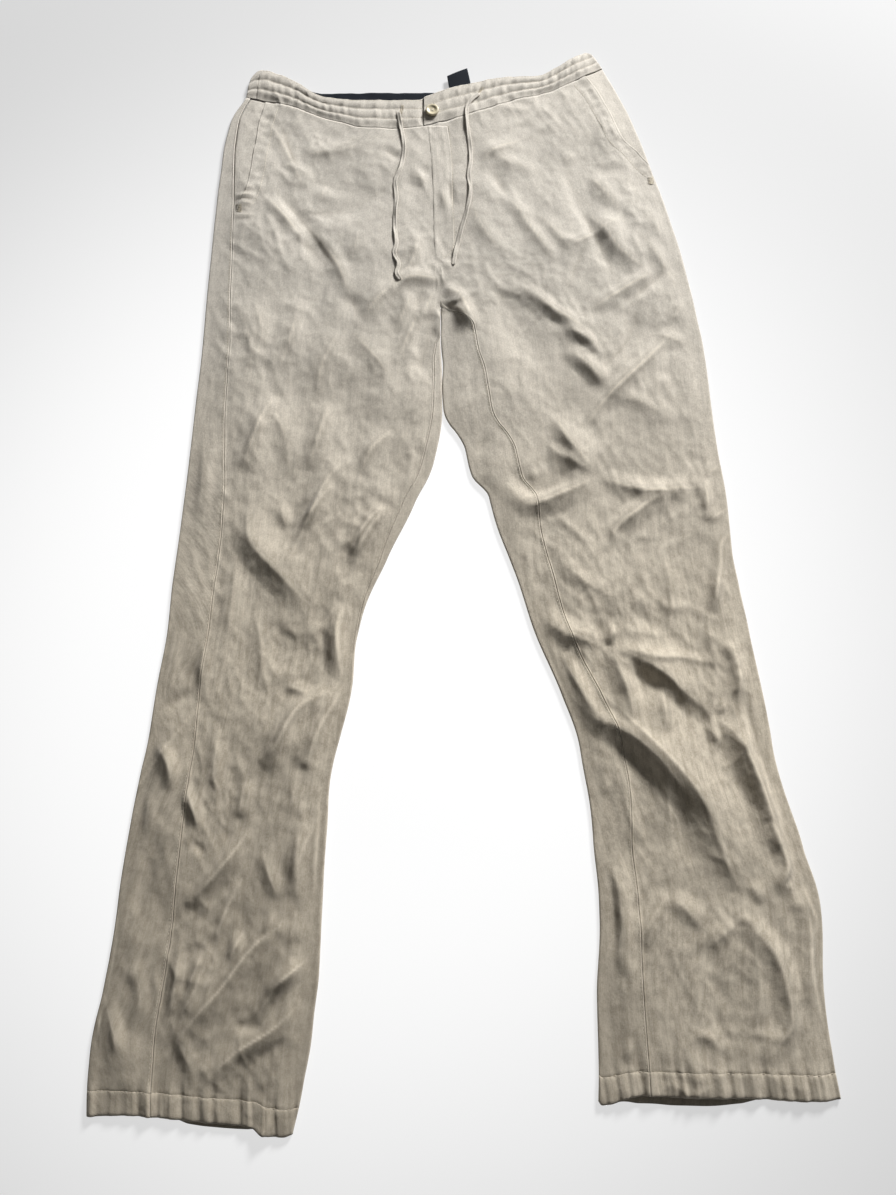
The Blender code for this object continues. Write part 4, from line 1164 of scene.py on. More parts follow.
def add_hem(leg, part, count, steps):
    """The turned-up hem of one panel, of doubled and rippled cloth."""
    length = leg_length(leg)
    grid = ClothGrid()
    for share in np.linspace(0, 1, count):
        down = length - HEM_DEPTH * (1 - share)
        course = leg_course(leg, down)
        if part == "front":
            start, end = course.out_seam, course.front_end
            turn = course.tip if leg.side == "right" else 0.0
        else:
            start, end = course.back_start, course.round + course.out_seam
            turn = course.round if leg.side == "right" else course.tip
        places = column_places(start, (turn - HALF_TURN, turn + HALF_TURN), end, steps)
        groove = -STITCH_DIP * dent(share * HEM_DEPTH, HEM_STITCH_WIDTH)
        rise = HEM_RISE * (0.5 + 0.5 * math.sin(math.pi * min(share * 1.6, 1) * 0.5))
        rise = rise - 0.9 * dent(1 - share, 0.06)
        ripples = hem_ripple(places - turned_up(leg, course, part), leg.side)
        detail = groove + rise + (HEM_RIPPLE - 0.4 * share) * ripples
        detail = detail + seam_lip(places - start, down, 86) + seam_lip(end - places, down, 87)
        grid.add(course.surface(places, panel_lift, detail, hidden_lift), places, down)
    node = f"hem_{part}_{leg.side}"
    cloth_piece(node, grid, 2 * cloth_thickness(), cotton_finish(), leg.side == "right")


def band_line(part, seam, rise):
    """A line along the waistband, by share of its length. Part 0 is the lower edge and 1 the upper one."""
    known = np.column_stack([np.linspace(0, 1, len(BAND_SECTIONS)), np.asarray(BAND_SECTIONS, float)])
    stations = np.linspace(0, 1, BAND_STATIONS)
    top_x, top_y, low_x = smooth_curve(known, stations).T
    top_y = top_y + rise * np.exp(-(((stations - BACK_RISE_PLACE) / BACK_RISE_REACH) ** 4))
    low = np.column_stack([low_x, seam(low_x) + BAND_GAP])
    line = low + (np.column_stack([top_x, top_y]) - low) * part
    for end, inward in ((0, 1), (1, -1)):
        pull = BAND_CORNER * part**9 * soft_step(1 - np.abs(stations - end) / 0.12)
        step = np.gradient(line, axis=0)
        step = step / np.linalg.norm(step, axis=1, keepdims=True)
        line = line + inward * pull[:, None] * step
    along = np.concatenate([[0], np.cumsum(np.hypot(*np.diff(line, axis=0).T))])
    return np.column_stack([along / along[-1], line]), along[-1]


def band_course(part, rise=0.0):
    """A section along the waistband, from the wearer's right side to left."""
    upper, length = band_line(part, waist_seam, rise)
    lower, _ = band_line(part, back_waist_seam, rise)

    def point_at(place, level):
        share = np.clip(place, 0, 1)
        level = np.clip(level, 0, 1)[..., None]
        points = smooth_curve(lower, share) * (1 - level) + smooth_curve(upper, share) * level
        return points[..., 0], points[..., 1]

    return Course(point_at, length)


def place_over(course, x):
    """The place on a section's top that lies at a given x."""
    share = np.linspace(0, 1, BAND_SAMPLES)
    known, _ = course.point_at(share, np.ones(BAND_SAMPLES))
    across = np.interp(x, known, share) * course.length
    return across - EDGE_RADIUS + HALF_TURN


def gathers(places, part):
    """Uneven gathers in the waistband's channels, deepest at its rows of stitching."""
    channel = np.floor(np.clip(part * CHANNELS, 0, CHANNELS - 0.01))
    shift = 40.0 * channel
    wave = soft_noise(places, 2.5 + shift, GATHER_SPACING, 91)
    through = soft_noise(places, 200.5, 1.3 * GATHER_SPACING, 92)
    return 0.7 * wave + 0.5 * through


def band_profile(part, places):
    """The stitched channels stand up, puckered, between their rows of stitching."""
    crown = abs(math.sin(math.pi * CHANNELS * part)) ** 0.7
    pinch = 0.55 + 0.45 * crown
    return CHANNEL_CROWN * crown + pinch * 1.15 * gathers(places, part)


def near_seam(away):
    """How much the channels stand up: little at the band's seam and fully away from it."""
    return BAND_SEAM_SHARE + (1 - BAND_SEAM_SHARE) * away


def band_lift(away):
    """The waistband leaves the panels' level at its lower edge and rises a little above them."""

    def lift(x, y):
        return PUFF + BAND_LIFT * away + (1 - BAND_STIFFNESS * away) * cloth_relief().height_at(x, y)

    return lift


def add_front_band(side, count, steps):
    """One half of the front waistband, gathered in three channels."""
    grid = ClothGrid()
    for part in np.linspace(0, 1, count):
        course = band_course(part)
        front_end = place_over(course, BAND_FRONT_END)
        if side == "right":
            places = column_places(BAND_SIDE_SEAM, (), front_end + BAND_UNDERLAP, steps)
        else:
            stops = (course.tip - HALF_TURN, course.tip + HALF_TURN)
            places = column_places(front_end, stops, course.tip - BAND_UNDER_SEAM, steps)
        tab = soft_step((front_end + BAND_TAB_LENGTH - places) / BAND_TAB_FADE) if side == "left" else 0.0
        calm = 1 - BAND_CALM * dent(places - front_end, BAND_CALM_REACH)
        profile = band_profile(part, places) * calm
        if side == "right":
            beneath = soft_step((places - front_end + BAND_OVERLAP) / BAND_OVERLAP)
            profile = profile * (1 - beneath) - BAND_UNDERLAP_SINK * beneath
        away = float(soft_step(part / BAND_RAMP))
        detail = profile * near_seam(away) + BAND_TAB_LIFT * tab
        grid.add(course.surface(places, band_lift(away), detail), places, part * BAND_DEPTH)
    cloth_piece("waistband_front_" + side, grid, 2 * cloth_thickness(), band_finish())


def add_back_band(count, steps):
    """The back waistband lies beneath and turns up over the side on the wearer's right."""
    grid = ClothGrid()
    for part in np.linspace(0, 1, count):
        course = band_course(part, BACK_RISE)
        start = course.tip - BAND_UNDER_SEAM
        end = course.round + BAND_SIDE_SEAM
        places = column_places(start, (course.round - HALF_TURN, course.round + HALF_TURN), end, steps)
        away = float(soft_step(part / BAND_RAMP))
        profile = band_profile(part, places)

        def under_lift(x, y):
            return 0.25 * profile + 0.3

        points = course.surface(places, band_lift(away), profile * near_seam(away), under_lift)
        points[:, 2] = np.maximum(points[:, 2], 0.0)
        grid.add(points, places, part * BAND_DEPTH)
    cloth_piece("waistband_back", grid, 2 * cloth_thickness(), band_finish())


def cloth_tree(nodes):
    """The cloth of the listed nodes as one search tree, for finding its height."""
    made = bmesh.new()
    for node in nodes:
        made.from_mesh(bpy.data.objects["cloth_" + node].data)
    tree = BVHTree.FromBMesh(made)
    made.free()
    return tree


def top_level(tree, x, y, reach=0.0):
    """The highest point of the cloth within a short reach of a place."""
    best = 0.0
    for aside in {-reach, 0.0, reach}:
        for along in {-reach, 0.0, reach}:
            start = Vector(((x + aside) * MM, (y + along) * MM, ABOVE_CLOTH))
            hit = tree.ray_cast(start, Vector((0, 0, -1)))[0]
            if hit is not None:
                best = max(best, hit.z / MM)
    return best


def add_back_facing(columns):
    """The dark strip inside the back waistband shows above the front one."""
    grid = ClothGrid()
    for part in np.linspace(*FACING_EDGES, 10):
        course = band_course(part, FACING_RISE)
        share = np.linspace(*FACING_SPAN, columns + 1)
        x, y = course.point_at(share, np.zeros(len(share)))
        y = y + 0.5 * soft_noise(x, 7.5, 14, 101)
        level = FACING_LEVEL + 0.5 * soft_noise(x, y, 12, 102)
        grid.add(np.column_stack([x, y, level]), share * course.length, part * BAND_DEPTH)
    cloth_piece("back_facing", grid, FACING_THICKNESS, navy_finish())


def add_label(steps):
    """A bare folded tab held at the waist, standing out a little beyond its edge."""
    low_left, top_left, top_right, low_right = (np.array(corner) for corner in LABEL_CORNERS)
    width, height = LABEL_SIZE
    grid = ClothGrid()
    for up in np.linspace(0, 1, steps + 1):
        left = low_left + (top_left - low_left) * up
        right = low_right + (top_right - low_right) * up
        share = np.linspace(0, 1, steps + 1)
        line = left + (right - left) * share[:, None]
        level = LABEL_LEVEL + 1.2 * math.sin(math.pi * up * 0.5) * (0.6 + 0.4 * np.sin(math.pi * share))
        level = level - 0.5 * dent(up - 1, 0.08)
        grid.add(np.column_stack([line, level]), share * width, up * height)
    cloth_piece("label", grid, LABEL_THICKNESS, navy_finish())


def add_fly(rows, steps):
    """The fly's overlap: a free, stitched edge over the right front, growing out of the left one."""
    tree = cloth_tree(FRONTS)
    table = np.asarray(FLY_ROWS)[::-1]
    grid = ClothGrid()
    for height in np.linspace(table[-1, 0], table[0, 0], rows):
        left, right = smooth_curve(table, np.array([height]))[0]
        share = np.linspace(0, 1, steps + 1)
        x = left + (right - left) * share
        ground = np.array([top_level(tree, place, height, 0.7) for place in x])
        above_end = float(soft_step((height - FLY_ROWS[-1][0]) / FLY_FADE))
        free = 1 - soft_step((share - FLY_FREE) / (1 - FLY_FREE))
        stand = FLY_STAND * free * above_end + 0.04 - 0.5 * dent(above_end, 0.1)
        edge = -STITCH_DIP * dent(share, 0.04) + 0.2 * dent(share - 0.09, 0.05) * above_end
        groove = -0.175 * dent(share - 0.86, 0.05)
        wave = 0.2 * soft_noise(x, height, 14, 111)
        level = ground + stand + (edge + wave * above_end) * free + groove
        grid.add(np.column_stack([x, np.full(len(x), height), level]), x + 300, -height)
    levels = grid.points()[..., 2]
    for _ in range(3):
        levels[1:-1] = (levels[:-2] + 2 * levels[1:-1] + levels[2:]) / 4
        between = (levels[:, :-2] + 2 * levels[:, 1:-1] + levels[:, 2:]) / 4
        levels[:, 1:-1] = np.maximum(levels[:, 1:-1], between)
    for row, smoothed in zip(grid.rows, levels):
        row[:, 2] = smoothed
    cloth_piece("fly_overlap", grid, cloth_thickness(), cotton_finish(), turned=True)


def spun_shape(profile, radius, height, segments):
    """A closed round shape spun from its half section."""
    made = bmesh.new()
    rim = [made.verts.new((radius * r * MM, 0, height * z * MM)) for r, z in profile]
    edges = [made.edges.new(pair) for pair in zip(rim, rim[1:])]
    bmesh.ops.spin(
        made,
        geom=rim + edges,
        cent=(0, 0, 0),
        axis=(0, 0, 1),
        angle=2 * math.pi,
        steps=segments,
        use_merge=True,
    )
    bmesh.ops.remove_doubles(made, verts=made.verts, dist=1e-6)
    bmesh.ops.recalc_face_normals(made, faces=made.faces)
    return made


def place_mesh(made, name, matrix=Matrix.Identity(4)):
    """Moves a mesh in progress to its place and finishes it."""
    bmesh.ops.transform(made, matrix=matrix, verts=made.verts)
    mesh = bpy.data.meshes.new(name)
    made.to_mesh(mesh)
    made.free()
    mesh.shade_smooth()
    return mesh


def add_button(radius, height):
    """A round button with a raised rim and a dished middle, sewn on with crossed threads."""
    base = top_level(cloth_tree(FRONT_BANDS), *BUTTON_PLACE, 0.5 * radius) + BUTTON_LIFT
    place = Matrix.Translation(Vector((*BUTTON_PLACE, base)) * MM)
    mesh = place_mesh(spun_shape(BUTTON_PROFILE, radius, height, 64), "sewn_button", place)
    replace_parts(add_piece("sewn_button", mesh, button_finish()), "button")
    threads = bmesh.new()
    centre = Vector((*BUTTON_PLACE, base + height * BUTTON_PROFILE[-1][1] + 0.15))
    for turn in (1, -1):
        for aside in BUTTON_THREADS:
            start = centre + Vector((-BUTTON_HOLE_SPREAD, -turn * BUTTON_HOLE_SPREAD + aside, 0))
            end = centre + Vector((BUTTON_HOLE_SPREAD, turn * BUTTON_HOLE_SPREAD + aside, 0.05 * turn))
            add_stitch(threads, start, end, BUTTON_THREAD_RADIUS)
    add_sewing("button_thread", threads)


@functools.lru_cache(maxsize=1)
def thread_bead():
    """The rounded shape that every stitch is a copy of."""
    made = bmesh.new()
    bmesh.ops.create_uvsphere(made, u_segments=6, v_segments=4, radius=1)
    return place_mesh(made, "bead")


def add_stitch(made, start, end, radius):
    """One stitch, a small rounded bead of thread from one point to another, in millimetres."""
    middle = (start + end) / 2
    along = end - start
    turn = Vector((0, 0, 1)).rotation_difference(along).to_matrix().to_4x4()
    size = Matrix.Diagonal((radius * MM, radius * MM, (along.length / 2 + radius * 0.5) * MM, 1))
    bead = thread_bead().copy()
    bead.transform(Matrix.Translation(middle * MM) @ turn @ size)
    made.from_mesh(bead)
    bpy.data.meshes.remove(bead)


def add_sewing(name, made):
    """Turns a mesh of stitches in progress into a piece of its own."""
    add_piece(name, place_mesh(made, name), thread_finish())


def add_stitch_row(made, tree, route, sizes, sunk=0.12):
    """A row of stitches along a route on the cloth."""
    points = np.asarray(route, float)
    along = np.concatenate([[0], np.cumsum(np.linalg.norm(np.diff(points, axis=0), axis=1))])
    length = sizes.stitch_length / MM
    pitch = sizes.stitch_pitch / MM
    radius = sizes.stitch_radius / MM
    for start in np.arange(0.5, along[-1] - length, pitch):
        ends = []
        for at in (start, start + length):
            x, y = (np.interp(at, along, points[:, axis]) for axis in (0, 1))
            level = top_level(tree, x, y) - sunk + radius * 0.6
            ends.append(Vector((x, y, level)))
        if (ends[1] - ends[0]).length < LONGEST_STITCH * length:
            add_stitch(made, *ends, radius)


def panel_route(leg, downs, place_of):
    """Points along a panel, each from a course's place."""
    route = []
    for down in downs:
        course = leg_course(leg, down)
        place = place_of(course, down)
        point = course.surface(np.array([place]), panel_lift)[0]
        route.append(point[:2])
    return route


def add_bar_tack(made, leg, tree):
    """Close short stitches across the lower end of a pocket's opening."""
    down = leg.pocket[-1][0]
    course = leg_course(leg, down)
    edge = pocket_edge(leg, down)
    for row in range(BAR_TACK_ROWS):
        places = np.array([edge - 1.0 + 1.5 * (row % 3), edge + 5.5 + 1.0 * (row % 2)])
        ends = []
        for x, y, _ in course.surface(places, panel_lift):
            y += 4.0 - BAR_TACK_PITCH * row
            ends.append(Vector((x, y, top_level(tree, x, y) + 0.25)))
        add_stitch(made, *ends, BAR_TACK_THREAD)


def add_seam_stitching(leg):
    """Rows of stitching beside the outseam or inseam, along the pocket and above the hem."""
    sizes = bpy.context.scene.trouser_sizes
    tree = cloth_tree([f"{piece}_{leg.side}" for piece in STITCHED_PIECES])
    length = leg_length(leg) - HEM_DEPTH
    pocket_end = leg.pocket[-1][0]

    def seam_place(course, down):
        return course.out_seam - SEAM_INSET if leg.side == "right" else course.front_end + SEAM_INSET

    def pocket_place(course, down):
        return pocket_edge(leg, down) + POCKET_STITCH

    first = pocket_end + POCKET_RUNOUT if leg.side == "right" else leg.crotch + SEAM_RAMP
    course = leg_course(leg, length + 0.3)
    places = np.linspace(HALF_TURN, course.tip - HALF_TURN, 120)
    routes = (
        panel_route(leg, np.linspace(first, length, 160), seam_place),
        panel_route(leg, np.linspace(4, pocket_end - 6, 40), pocket_place),
        course.surface(places, panel_lift)[:, :2],
    )
    made = bmesh.new()
    for route in routes:
        add_stitch_row(made, tree, route, sizes)
    add_bar_tack(made, leg, tree)
    add_sewing("stitching_" + leg.side, made)


def add_waist_stitching():
    """The rows of stitching that part the waistband's channels, and the fly's curved row."""
    sizes = bpy.context.scene.trouser_sizes
    tree = cloth_tree((*FRONT_BANDS, "fly_overlap", "front_left"))
    made = bmesh.new()
    for part in BAND_STITCHING:
        course = band_course(part)
        places = np.linspace(BAND_SIDE_SEAM, course.tip - EDGE_TURN, 160)
        add_stitch_row(made, tree, course.surface(places, panel_lift)[:, :2], sizes)
    add_stitch_row(made, tree, smooth_route(FLY_STITCHING, 60), sizes, sunk=0.05)
    add_sewing("stitching_waist", made)


def tape_path(route, tree, thickness):
    """Points along a tape that lies on the cloth, smoothed so that it doesn't follow every small crease."""
    places = smooth_route(route, TAPE_POINTS)
    levels = np.array([top_level(tree, x, y, 1.0) for x, y in places])
    for _ in range(2):
        padded = np.pad(levels, 1, mode="edge")
        levels = np.maximum(levels, (padded[:-2] + 2 * levels + padded[2:]) / 4)
    for _ in range(3):
        padded = np.pad(levels, 1, mode="edge")
        levels = (padded[:-2] + 2 * levels + padded[2:]) / 4
    return np.column_stack([places, levels + thickness * 0.25])


def add_tape(name, route, seed):
    """One free end of the drawstring: a flat folded tape that turns a little as it lies."""
    sizes = bpy.context.scene.trouser_sizes
    width = sizes.tape_width / MM
    thickness = sizes.tape_thickness / MM
    path = tape_path(route, cloth_tree((*FRONTS, "fly_overlap", *FRONT_BANDS)), thickness)
    steps = np.linalg.norm(np.diff(path, axis=0), axis=1)
    length = steps.sum()
    ring = np.linspace(0, 2 * math.pi, TAPE_RING + 1)
    across = np.cos(ring)
    bulge = (0.25 + 0.9 * np.abs(across) ** 1.5) * np.sin(ring)
    ahead = np.gradient(path, axis=0)
    ahead /= np.linalg.norm(ahead, axis=1, keepdims=True)
    along = np.concatenate([[0], np.cumsum(steps)])
    tilt = TAPE_TILT * soft_noise(along, 3.5, 28, seed)
    grid = ClothGrid()
    for point, direction, angle, place in zip(path, ahead, tilt, along):
        aside = np.cross(direction, (0, 0, 1))
        aside /= np.linalg.norm(aside)
        up = np.cross(aside, direction)
        turned = aside * math.cos(angle) + up * math.sin(angle)
        stood = up * math.cos(angle) - aside * math.sin(angle)
        lifted = point + up * abs(math.sin(angle)) * width * 0.3
        end = min(1.0, 0.35 + min(place, length - place) / 1.5)
        line = lifted + end * (np.outer(across, turned) * width / 2 + np.outer(bulge, stood) * thickness)
        grid.add(line, ring * width / 3, place)
    points = grid.points()
    rows, columns = points.shape[:2]
    made = bmesh.new()
    bmesh.ops.create_grid(made, x_segments=columns - 1, y_segments=rows - 1, size=1)
    layer = made.loops.layers.uv.new("cloth")
    measures = np.array(grid.measures).reshape(-1, 2) * MM
    for vertex, point, measure in zip(made.verts, points.reshape(-1, 3) * MM, measures):
        vertex.co = point
        for corner in vertex.link_loops:
            corner[layer].uv = measure
    bmesh.ops.remove_doubles(made, verts=made.verts, dist=1e-6)
    bmesh.ops.holes_fill(made, edges=made.edges, sides=0)
    bmesh.ops.recalc_face_normals(made, faces=made.faces)
    piece = add_piece(name, place_mesh(made, name), tape_finish())
    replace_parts(piece, name.replace("tape_", "drawstring_"))


def add_slits():
    """The bound slits that the drawstring comes out of."""
    tree = cloth_tree(FRONT_BANDS)
    made = bmesh.new()
    for (x, y), angle in SLITS:
        ahead = Vector((math.cos(angle), math.sin(angle)))
        for row in range(-SLIT_ROWS, SLIT_ROWS + 1):
            centre = Vector((x, y)) + ahead * (row * SLIT_PITCH)
            level = top_level(tree, *centre, 0.6)
            for aside in (Vector((ahead.y, -ahead.x)), Vector((-ahead.y, ahead.x))):
                near = centre + aside * SLIT_OPENING
                far = centre + aside * SLIT_STITCH
                start = Vector((*near, level + 0.1))
                end = Vector((*far, top_level(tree, *far) + 0.1))
                add_stitch(made, start, end, SLIT_THREAD)
    add_sewing("drawstring_slits", made)


class Value:
    """A value in a shader. Sums written on it add the nodes that work them out."""

    def __init__(self, finish, socket):
        self.finish = finish
        self.socket = socket

    def math(self, operation, *others):
        inputs = dict(enumerate((self, *others)))
        return self.finish.node("ShaderNodeMath", {"operation": operation}, inputs)

    def __add__(self, other):
        return self.math("ADD", other)

    __radd__ = __add__

    def __sub__(self, other):
        return self.math("SUBTRACT", other)

    def __rsub__(self, other):
        return self.finish.node("ShaderNodeMath", {"operation": "SUBTRACT"}, {0: other, 1: self})

    def __mul__(self, other):
        return self.math("MULTIPLY", other)

    __rmul__ = __mul__


class Finish:
    """A material in progress, with one method for every kind of node."""

    def __init__(self, name):
        self.material = bpy.data.materials.new(name)
        self.material.use_nodes = True
        self.tree = self.material.node_tree
        self.shader = self.tree.nodes["Principled BSDF"]

    def connect(self, value, socket):
        """Links a value to a socket, or sets the socket to a plain number or colour."""
        if isinstance(value, Value):
            self.tree.links.new(value.socket, socket)
        else:
            socket.default_value = value

    def node(self, kind, settings=None, inputs=None, output=0):
        """Adds a node. Its settings come first, then the values or links of its sockets."""
        made = self.tree.nodes.new(kind)
        for key, value in (settings or {}).items():
            setattr(made, key, value)
        for key, value in (inputs or {}).items():
            self.connect(value, made.inputs[key])
        return Value(self, made.outputs[output])

    def set(self, **values):
        """Sets or links sockets of the surface shader, with spaces for underscores."""
        for key, value in values.items():
            self.connect(value, self.shader.inputs[key.replace("_", " ").title()])

    def noise(self, vector, scale, detail=2.0, roughness=0.5):
        inputs = {"Vector": vector, "Scale": scale, "Detail": detail, "Roughness": roughness}
        return self.node("ShaderNodeTexNoise", None, inputs)

    def stretched(self, vector, scale):
        """The vector with each of its axes scaled."""
        return self.node("ShaderNodeVectorMath", {"operation": "MULTIPLY"}, {0: vector, 1: scale})

    def between(self, value, low, high):
        """The value spread so that low becomes 0 and high becomes 1."""
        inputs = {"Value": value, "From Min": low, "From Max": high}
        return self.node("ShaderNodeMapRange", {"interpolation_type": "SMOOTHSTEP"}, inputs)

    def mix(self, factor, first, second):
        """A colour between two others."""
        return self.node("ShaderNodeMix", {"data_type": "RGBA"}, {0: factor, 6: first, 7: second}, output=2)

    def tint(self, colour, share, value, span, other):
        """The colour with a share of another one, which grows as the value goes through its span."""
        return self.mix(share * self.between(value, *span), colour, other)

    def grain(self, cloth, grain):
        """Noise that is longer along the cloth than across it, or the other way."""
        stretched = self.stretched(cloth, (grain.across, grain.along, 1.0))
        return self.noise(stretched, 1.0, grain.detail, grain.roughness)

    def ribs(self, cloth, direction, scale, distortion, detail_scale=1.0):
        """Even ribs of thread, a little wavy."""
        settings = {"wave_type": "BANDS", "bands_direction": direction}
        inputs = {"Vector": cloth, "Scale": scale, "Distortion": distortion}
        inputs.update({"Detail": 1.0, "Detail Scale": detail_scale})
        return self.node("ShaderNodeTexWave", settings, inputs)

    def bump(self, height, distance, under=None):
        inputs = {"Height": height, "Distance": distance}
        if under is not None:
            inputs["Normal"] = under
        return self.node("ShaderNodeBump", None, inputs)


def rgba(colour, scale=1.0):
    return (*(channel * scale for channel in colour), 1.0)


# Noise of the cotton's threads, in cells to a metre across and along the cloth.
WARP = Grain(1700.0, 420.0, 3.0, 0.6)
WEFT = Grain(380.0, 1600.0, 3.0, 0.6)
WIDE_WARP = Grain(900.0, 75.0, 2.0, 0.55)
SLUBS = Grain(420.0, 60.0, 2.0, 0.6)
MOTTLE = Grain(150.0, 85.0, 4.0, 0.65)
LONG_STREAKS = Grain(170.0, 18.0, 4.0, 0.65)


def woven_finish(name, slubs, crumple):
    """Plain woven cotton: heathered threads with slubs, soft tones, fine wrinkles and a dry surface, with
    painted shade towards the hems, painted light towards the waist, and painted light and shade on the
    creases.
    """
    colours = bpy.context.scene.trouser_finish
    light = tuple(colours.cotton_light)
    dark = tuple(colours.cotton_dark)
    pale = tuple(0.5 * sum(light) / 3 + 0.5 * channel for channel in light)
    finish = Finish(name)
    cloth = finish.node("ShaderNodeUVMap", {"uv_map": "cloth"})
    place = finish.node("ShaderNodeTexCoord", output=3)
    across = finish.node("ShaderNodeSeparateXYZ", None, {0: place}, output=0)
    height = finish.node("ShaderNodeSeparateXYZ", None, {0: place}, output=1)

    heather = 0.42 * finish.grain(cloth, WARP) + 0.36 * finish.grain(cloth, WEFT)
    heather = heather + 0.22 * finish.grain(cloth, WIDE_WARP)
    mottle = finish.grain(cloth, MOTTLE)
    streak = finish.grain(cloth, LONG_STREAKS)
    cloud = finish.noise(place, 9.0, 3.0, 0.55)
    tone = finish.between(heather, 0.41, 0.59)
    colour = finish.mix(tone, rgba(dark), rgba(light))
    colour = finish.tint(colour, slubs, finish.grain(cloth, SLUBS), (0.62, 0.74), rgba(light, 1.22))
    colour = finish.tint(colour, 0.5, mottle, (0.35, 0.70), rgba(light, 1.12))
    colour = finish.tint(colour, 0.5, mottle, (0.55, 0.30), rgba(dark, 0.92))
    colour = finish.tint(colour, 0.55, streak, (0.50, 0.70), rgba(light, 1.18))
    colour = finish.tint(colour, 0.55, streak, (0.49, 0.32), rgba(dark, 0.80))
    colour = finish.tint(colour, 0.14, cloud, (0.66, 0.34), rgba(dark, 0.62))
    # Painted shade: darker towards the hems and towards the wearer's right, where less light falls.
    painted_shade_gradient = height + 0.55 * across + 0.06 * cloud
    colour = finish.tint(colour, 0.42, painted_shade_gradient, (-0.24, -0.52), rgba(dark, 0.72))
    # Painted light: paler and greyer towards the waist, where the light is strongest.
    painted_top_light = finish.mix(tone, rgba(pale, 0.80), rgba(pale, 1.06))
    colour = finish.tint(colour, 0.75, height + 0.10 * cloud, (-0.15, 0.42), painted_top_light)
    # Painted light and shade on the creases: paler on the crest lines, partly wear and partly painted
    # highlight, and darker where painted shade lies beside crests and along troughs.
    wear_and_painted_light = finish.node("ShaderNodeAttribute", {"attribute_name": "crease_wear_and_painted_light"}, output=2)
    colour = finish.mix(wear_and_painted_light * 0.6, colour, rgba(light, 1.3))
    colour = finish.mix(wear_and_painted_light * -0.55, colour, rgba(dark, 0.62))

    weave = finish.ribs(cloth, "X", 560.0, 1.2, 2.0) * finish.ribs(cloth, "Y", 500.0, 1.2, 2.0)
    wrinkle = finish.noise(finish.stretched(cloth, (1.0, 0.7, 1.0)), 95.0, 4.0, 0.55)
    folds = finish.noise(place, 48.0, 3.0, 0.5)
    shape = {"Vector": place, "Scale": 30.0, "Detail": 2.0, "Roughness": 0.5, "Distortion": 0.5}
    crushed = finish.node("ShaderNodeTexNoise", {"noise_type": "RIDGED_MULTIFRACTAL"}, shape)
    patches = finish.between(finish.noise(place, 13.0, 2.0), 0.38, 0.66)
    wrinkled = finish.bump(wrinkle * 0.8 + folds * 1.2 + 0.5 * crushed * patches, crumple * MM)
    normal = finish.bump(weave + 0.6 * heather, 0.10 * MM, wrinkled)
    finish.set(base_color=colour, roughness=0.86 + 0.08 * (1 - tone), normal=normal)
    finish.shader.inputs["Sheen Weight"].default_value = 0.25
    finish.shader.inputs["Sheen Roughness"].default_value = 0.5
    finish.shader.inputs["Specular IOR Level"].default_value = 0.22
    return finish.material


@functools.lru_cache(maxsize=1)
def cotton_finish():
    """The cotton of the panels."""
    return woven_finish("oatmeal_cotton", slubs=0.35, crumple=0.75)


@functools.lru_cache(maxsize=1)
def band_finish():
    """The cotton of the waistband, which its channels hold smoother."""
    return woven_finish("oatmeal_cotton_band", slubs=0.35, crumple=0.45)


@functools.lru_cache(maxsize=1)
def tape_finish():
    """The cotton of the drawstring."""
    return woven_finish("oatmeal_cotton_tape", slubs=0.2, crumple=0.3)


@functools.lru_cache(maxsize=1)
def thread_finish():
    """Twisted sewing thread."""
    finish = Finish("sewing_thread")
    place = finish.node("ShaderNodeTexCoord", output=3)
    light = tuple(bpy.context.scene.trouser_finish.thread)
    tone = finish.noise(place, 900.0, 2.0)
    colour = finish.mix(finish.between(tone, 0.35, 0.65), rgba(light, 0.82), rgba(light, 1.06))
    ply = finish.noise(place, 3500.0, 1.0)
    finish.set(base_color=colour, roughness=0.7 + 0.1 * tone, normal=finish.bump(ply, 0.05 * MM))
    finish.shader.inputs["Sheen Weight"].default_value = 0.2
    return finish.material


@functools.lru_cache(maxsize=1)
def navy_finish():
    """Dark twill tape with a fine diagonal rib."""
    finish = Finish("navy_twill")
    cloth = finish.node("ShaderNodeUVMap", {"uv_map": "cloth"})
    dark = tuple(bpy.context.scene.trouser_finish.navy)
    rib = finish.ribs(cloth, "DIAGONAL", 420.0, 0.8)
    fuzz = finish.noise(cloth, 1400.0, 3.0, 0.6)
    colour = finish.mix(finish.between(0.5 * rib + 0.5 * fuzz, 0.3, 0.75), rgba(dark, 0.7), rgba(dark, 1.9))
    finish.set(base_color=colour, roughness=0.78 + 0.12 * fuzz, normal=finish.bump(rib + fuzz, 0.12 * MM))
    finish.shader.inputs["Sheen Weight"].default_value = 0.02
    finish.shader.inputs["Specular IOR Level"].default_value = 0.15
    finish.shader.inputs["Sheen Roughness"].default_value = 0.5
    return finish.material


@functools.lru_cache(maxsize=1)
def button_finish():
    """Cream horn-like plastic with faint streaks and a worn polish."""
    finish = Finish("cream_button")
    place = finish.node("ShaderNodeTexCoord", output=3)
    light = tuple(bpy.context.scene.trouser_finish.button)
    streak = finish.noise(finish.stretched(place, (260.0, 90.0, 260.0)), 1.0, 4.0, 0.6)
    fleck = finish.noise(place, 1600.0, 2.0)
    colour = finish.mix(finish.between(streak, 0.35, 0.68), rgba(light, 0.80), rgba(light, 1.04))
    finish.set(base_color=colour, roughness=0.30 + 0.22 * fleck, normal=finish.bump(fleck, 0.02 * MM))
    finish.shader.inputs["Coat Weight"].default_value = 0.15
    return finish.material


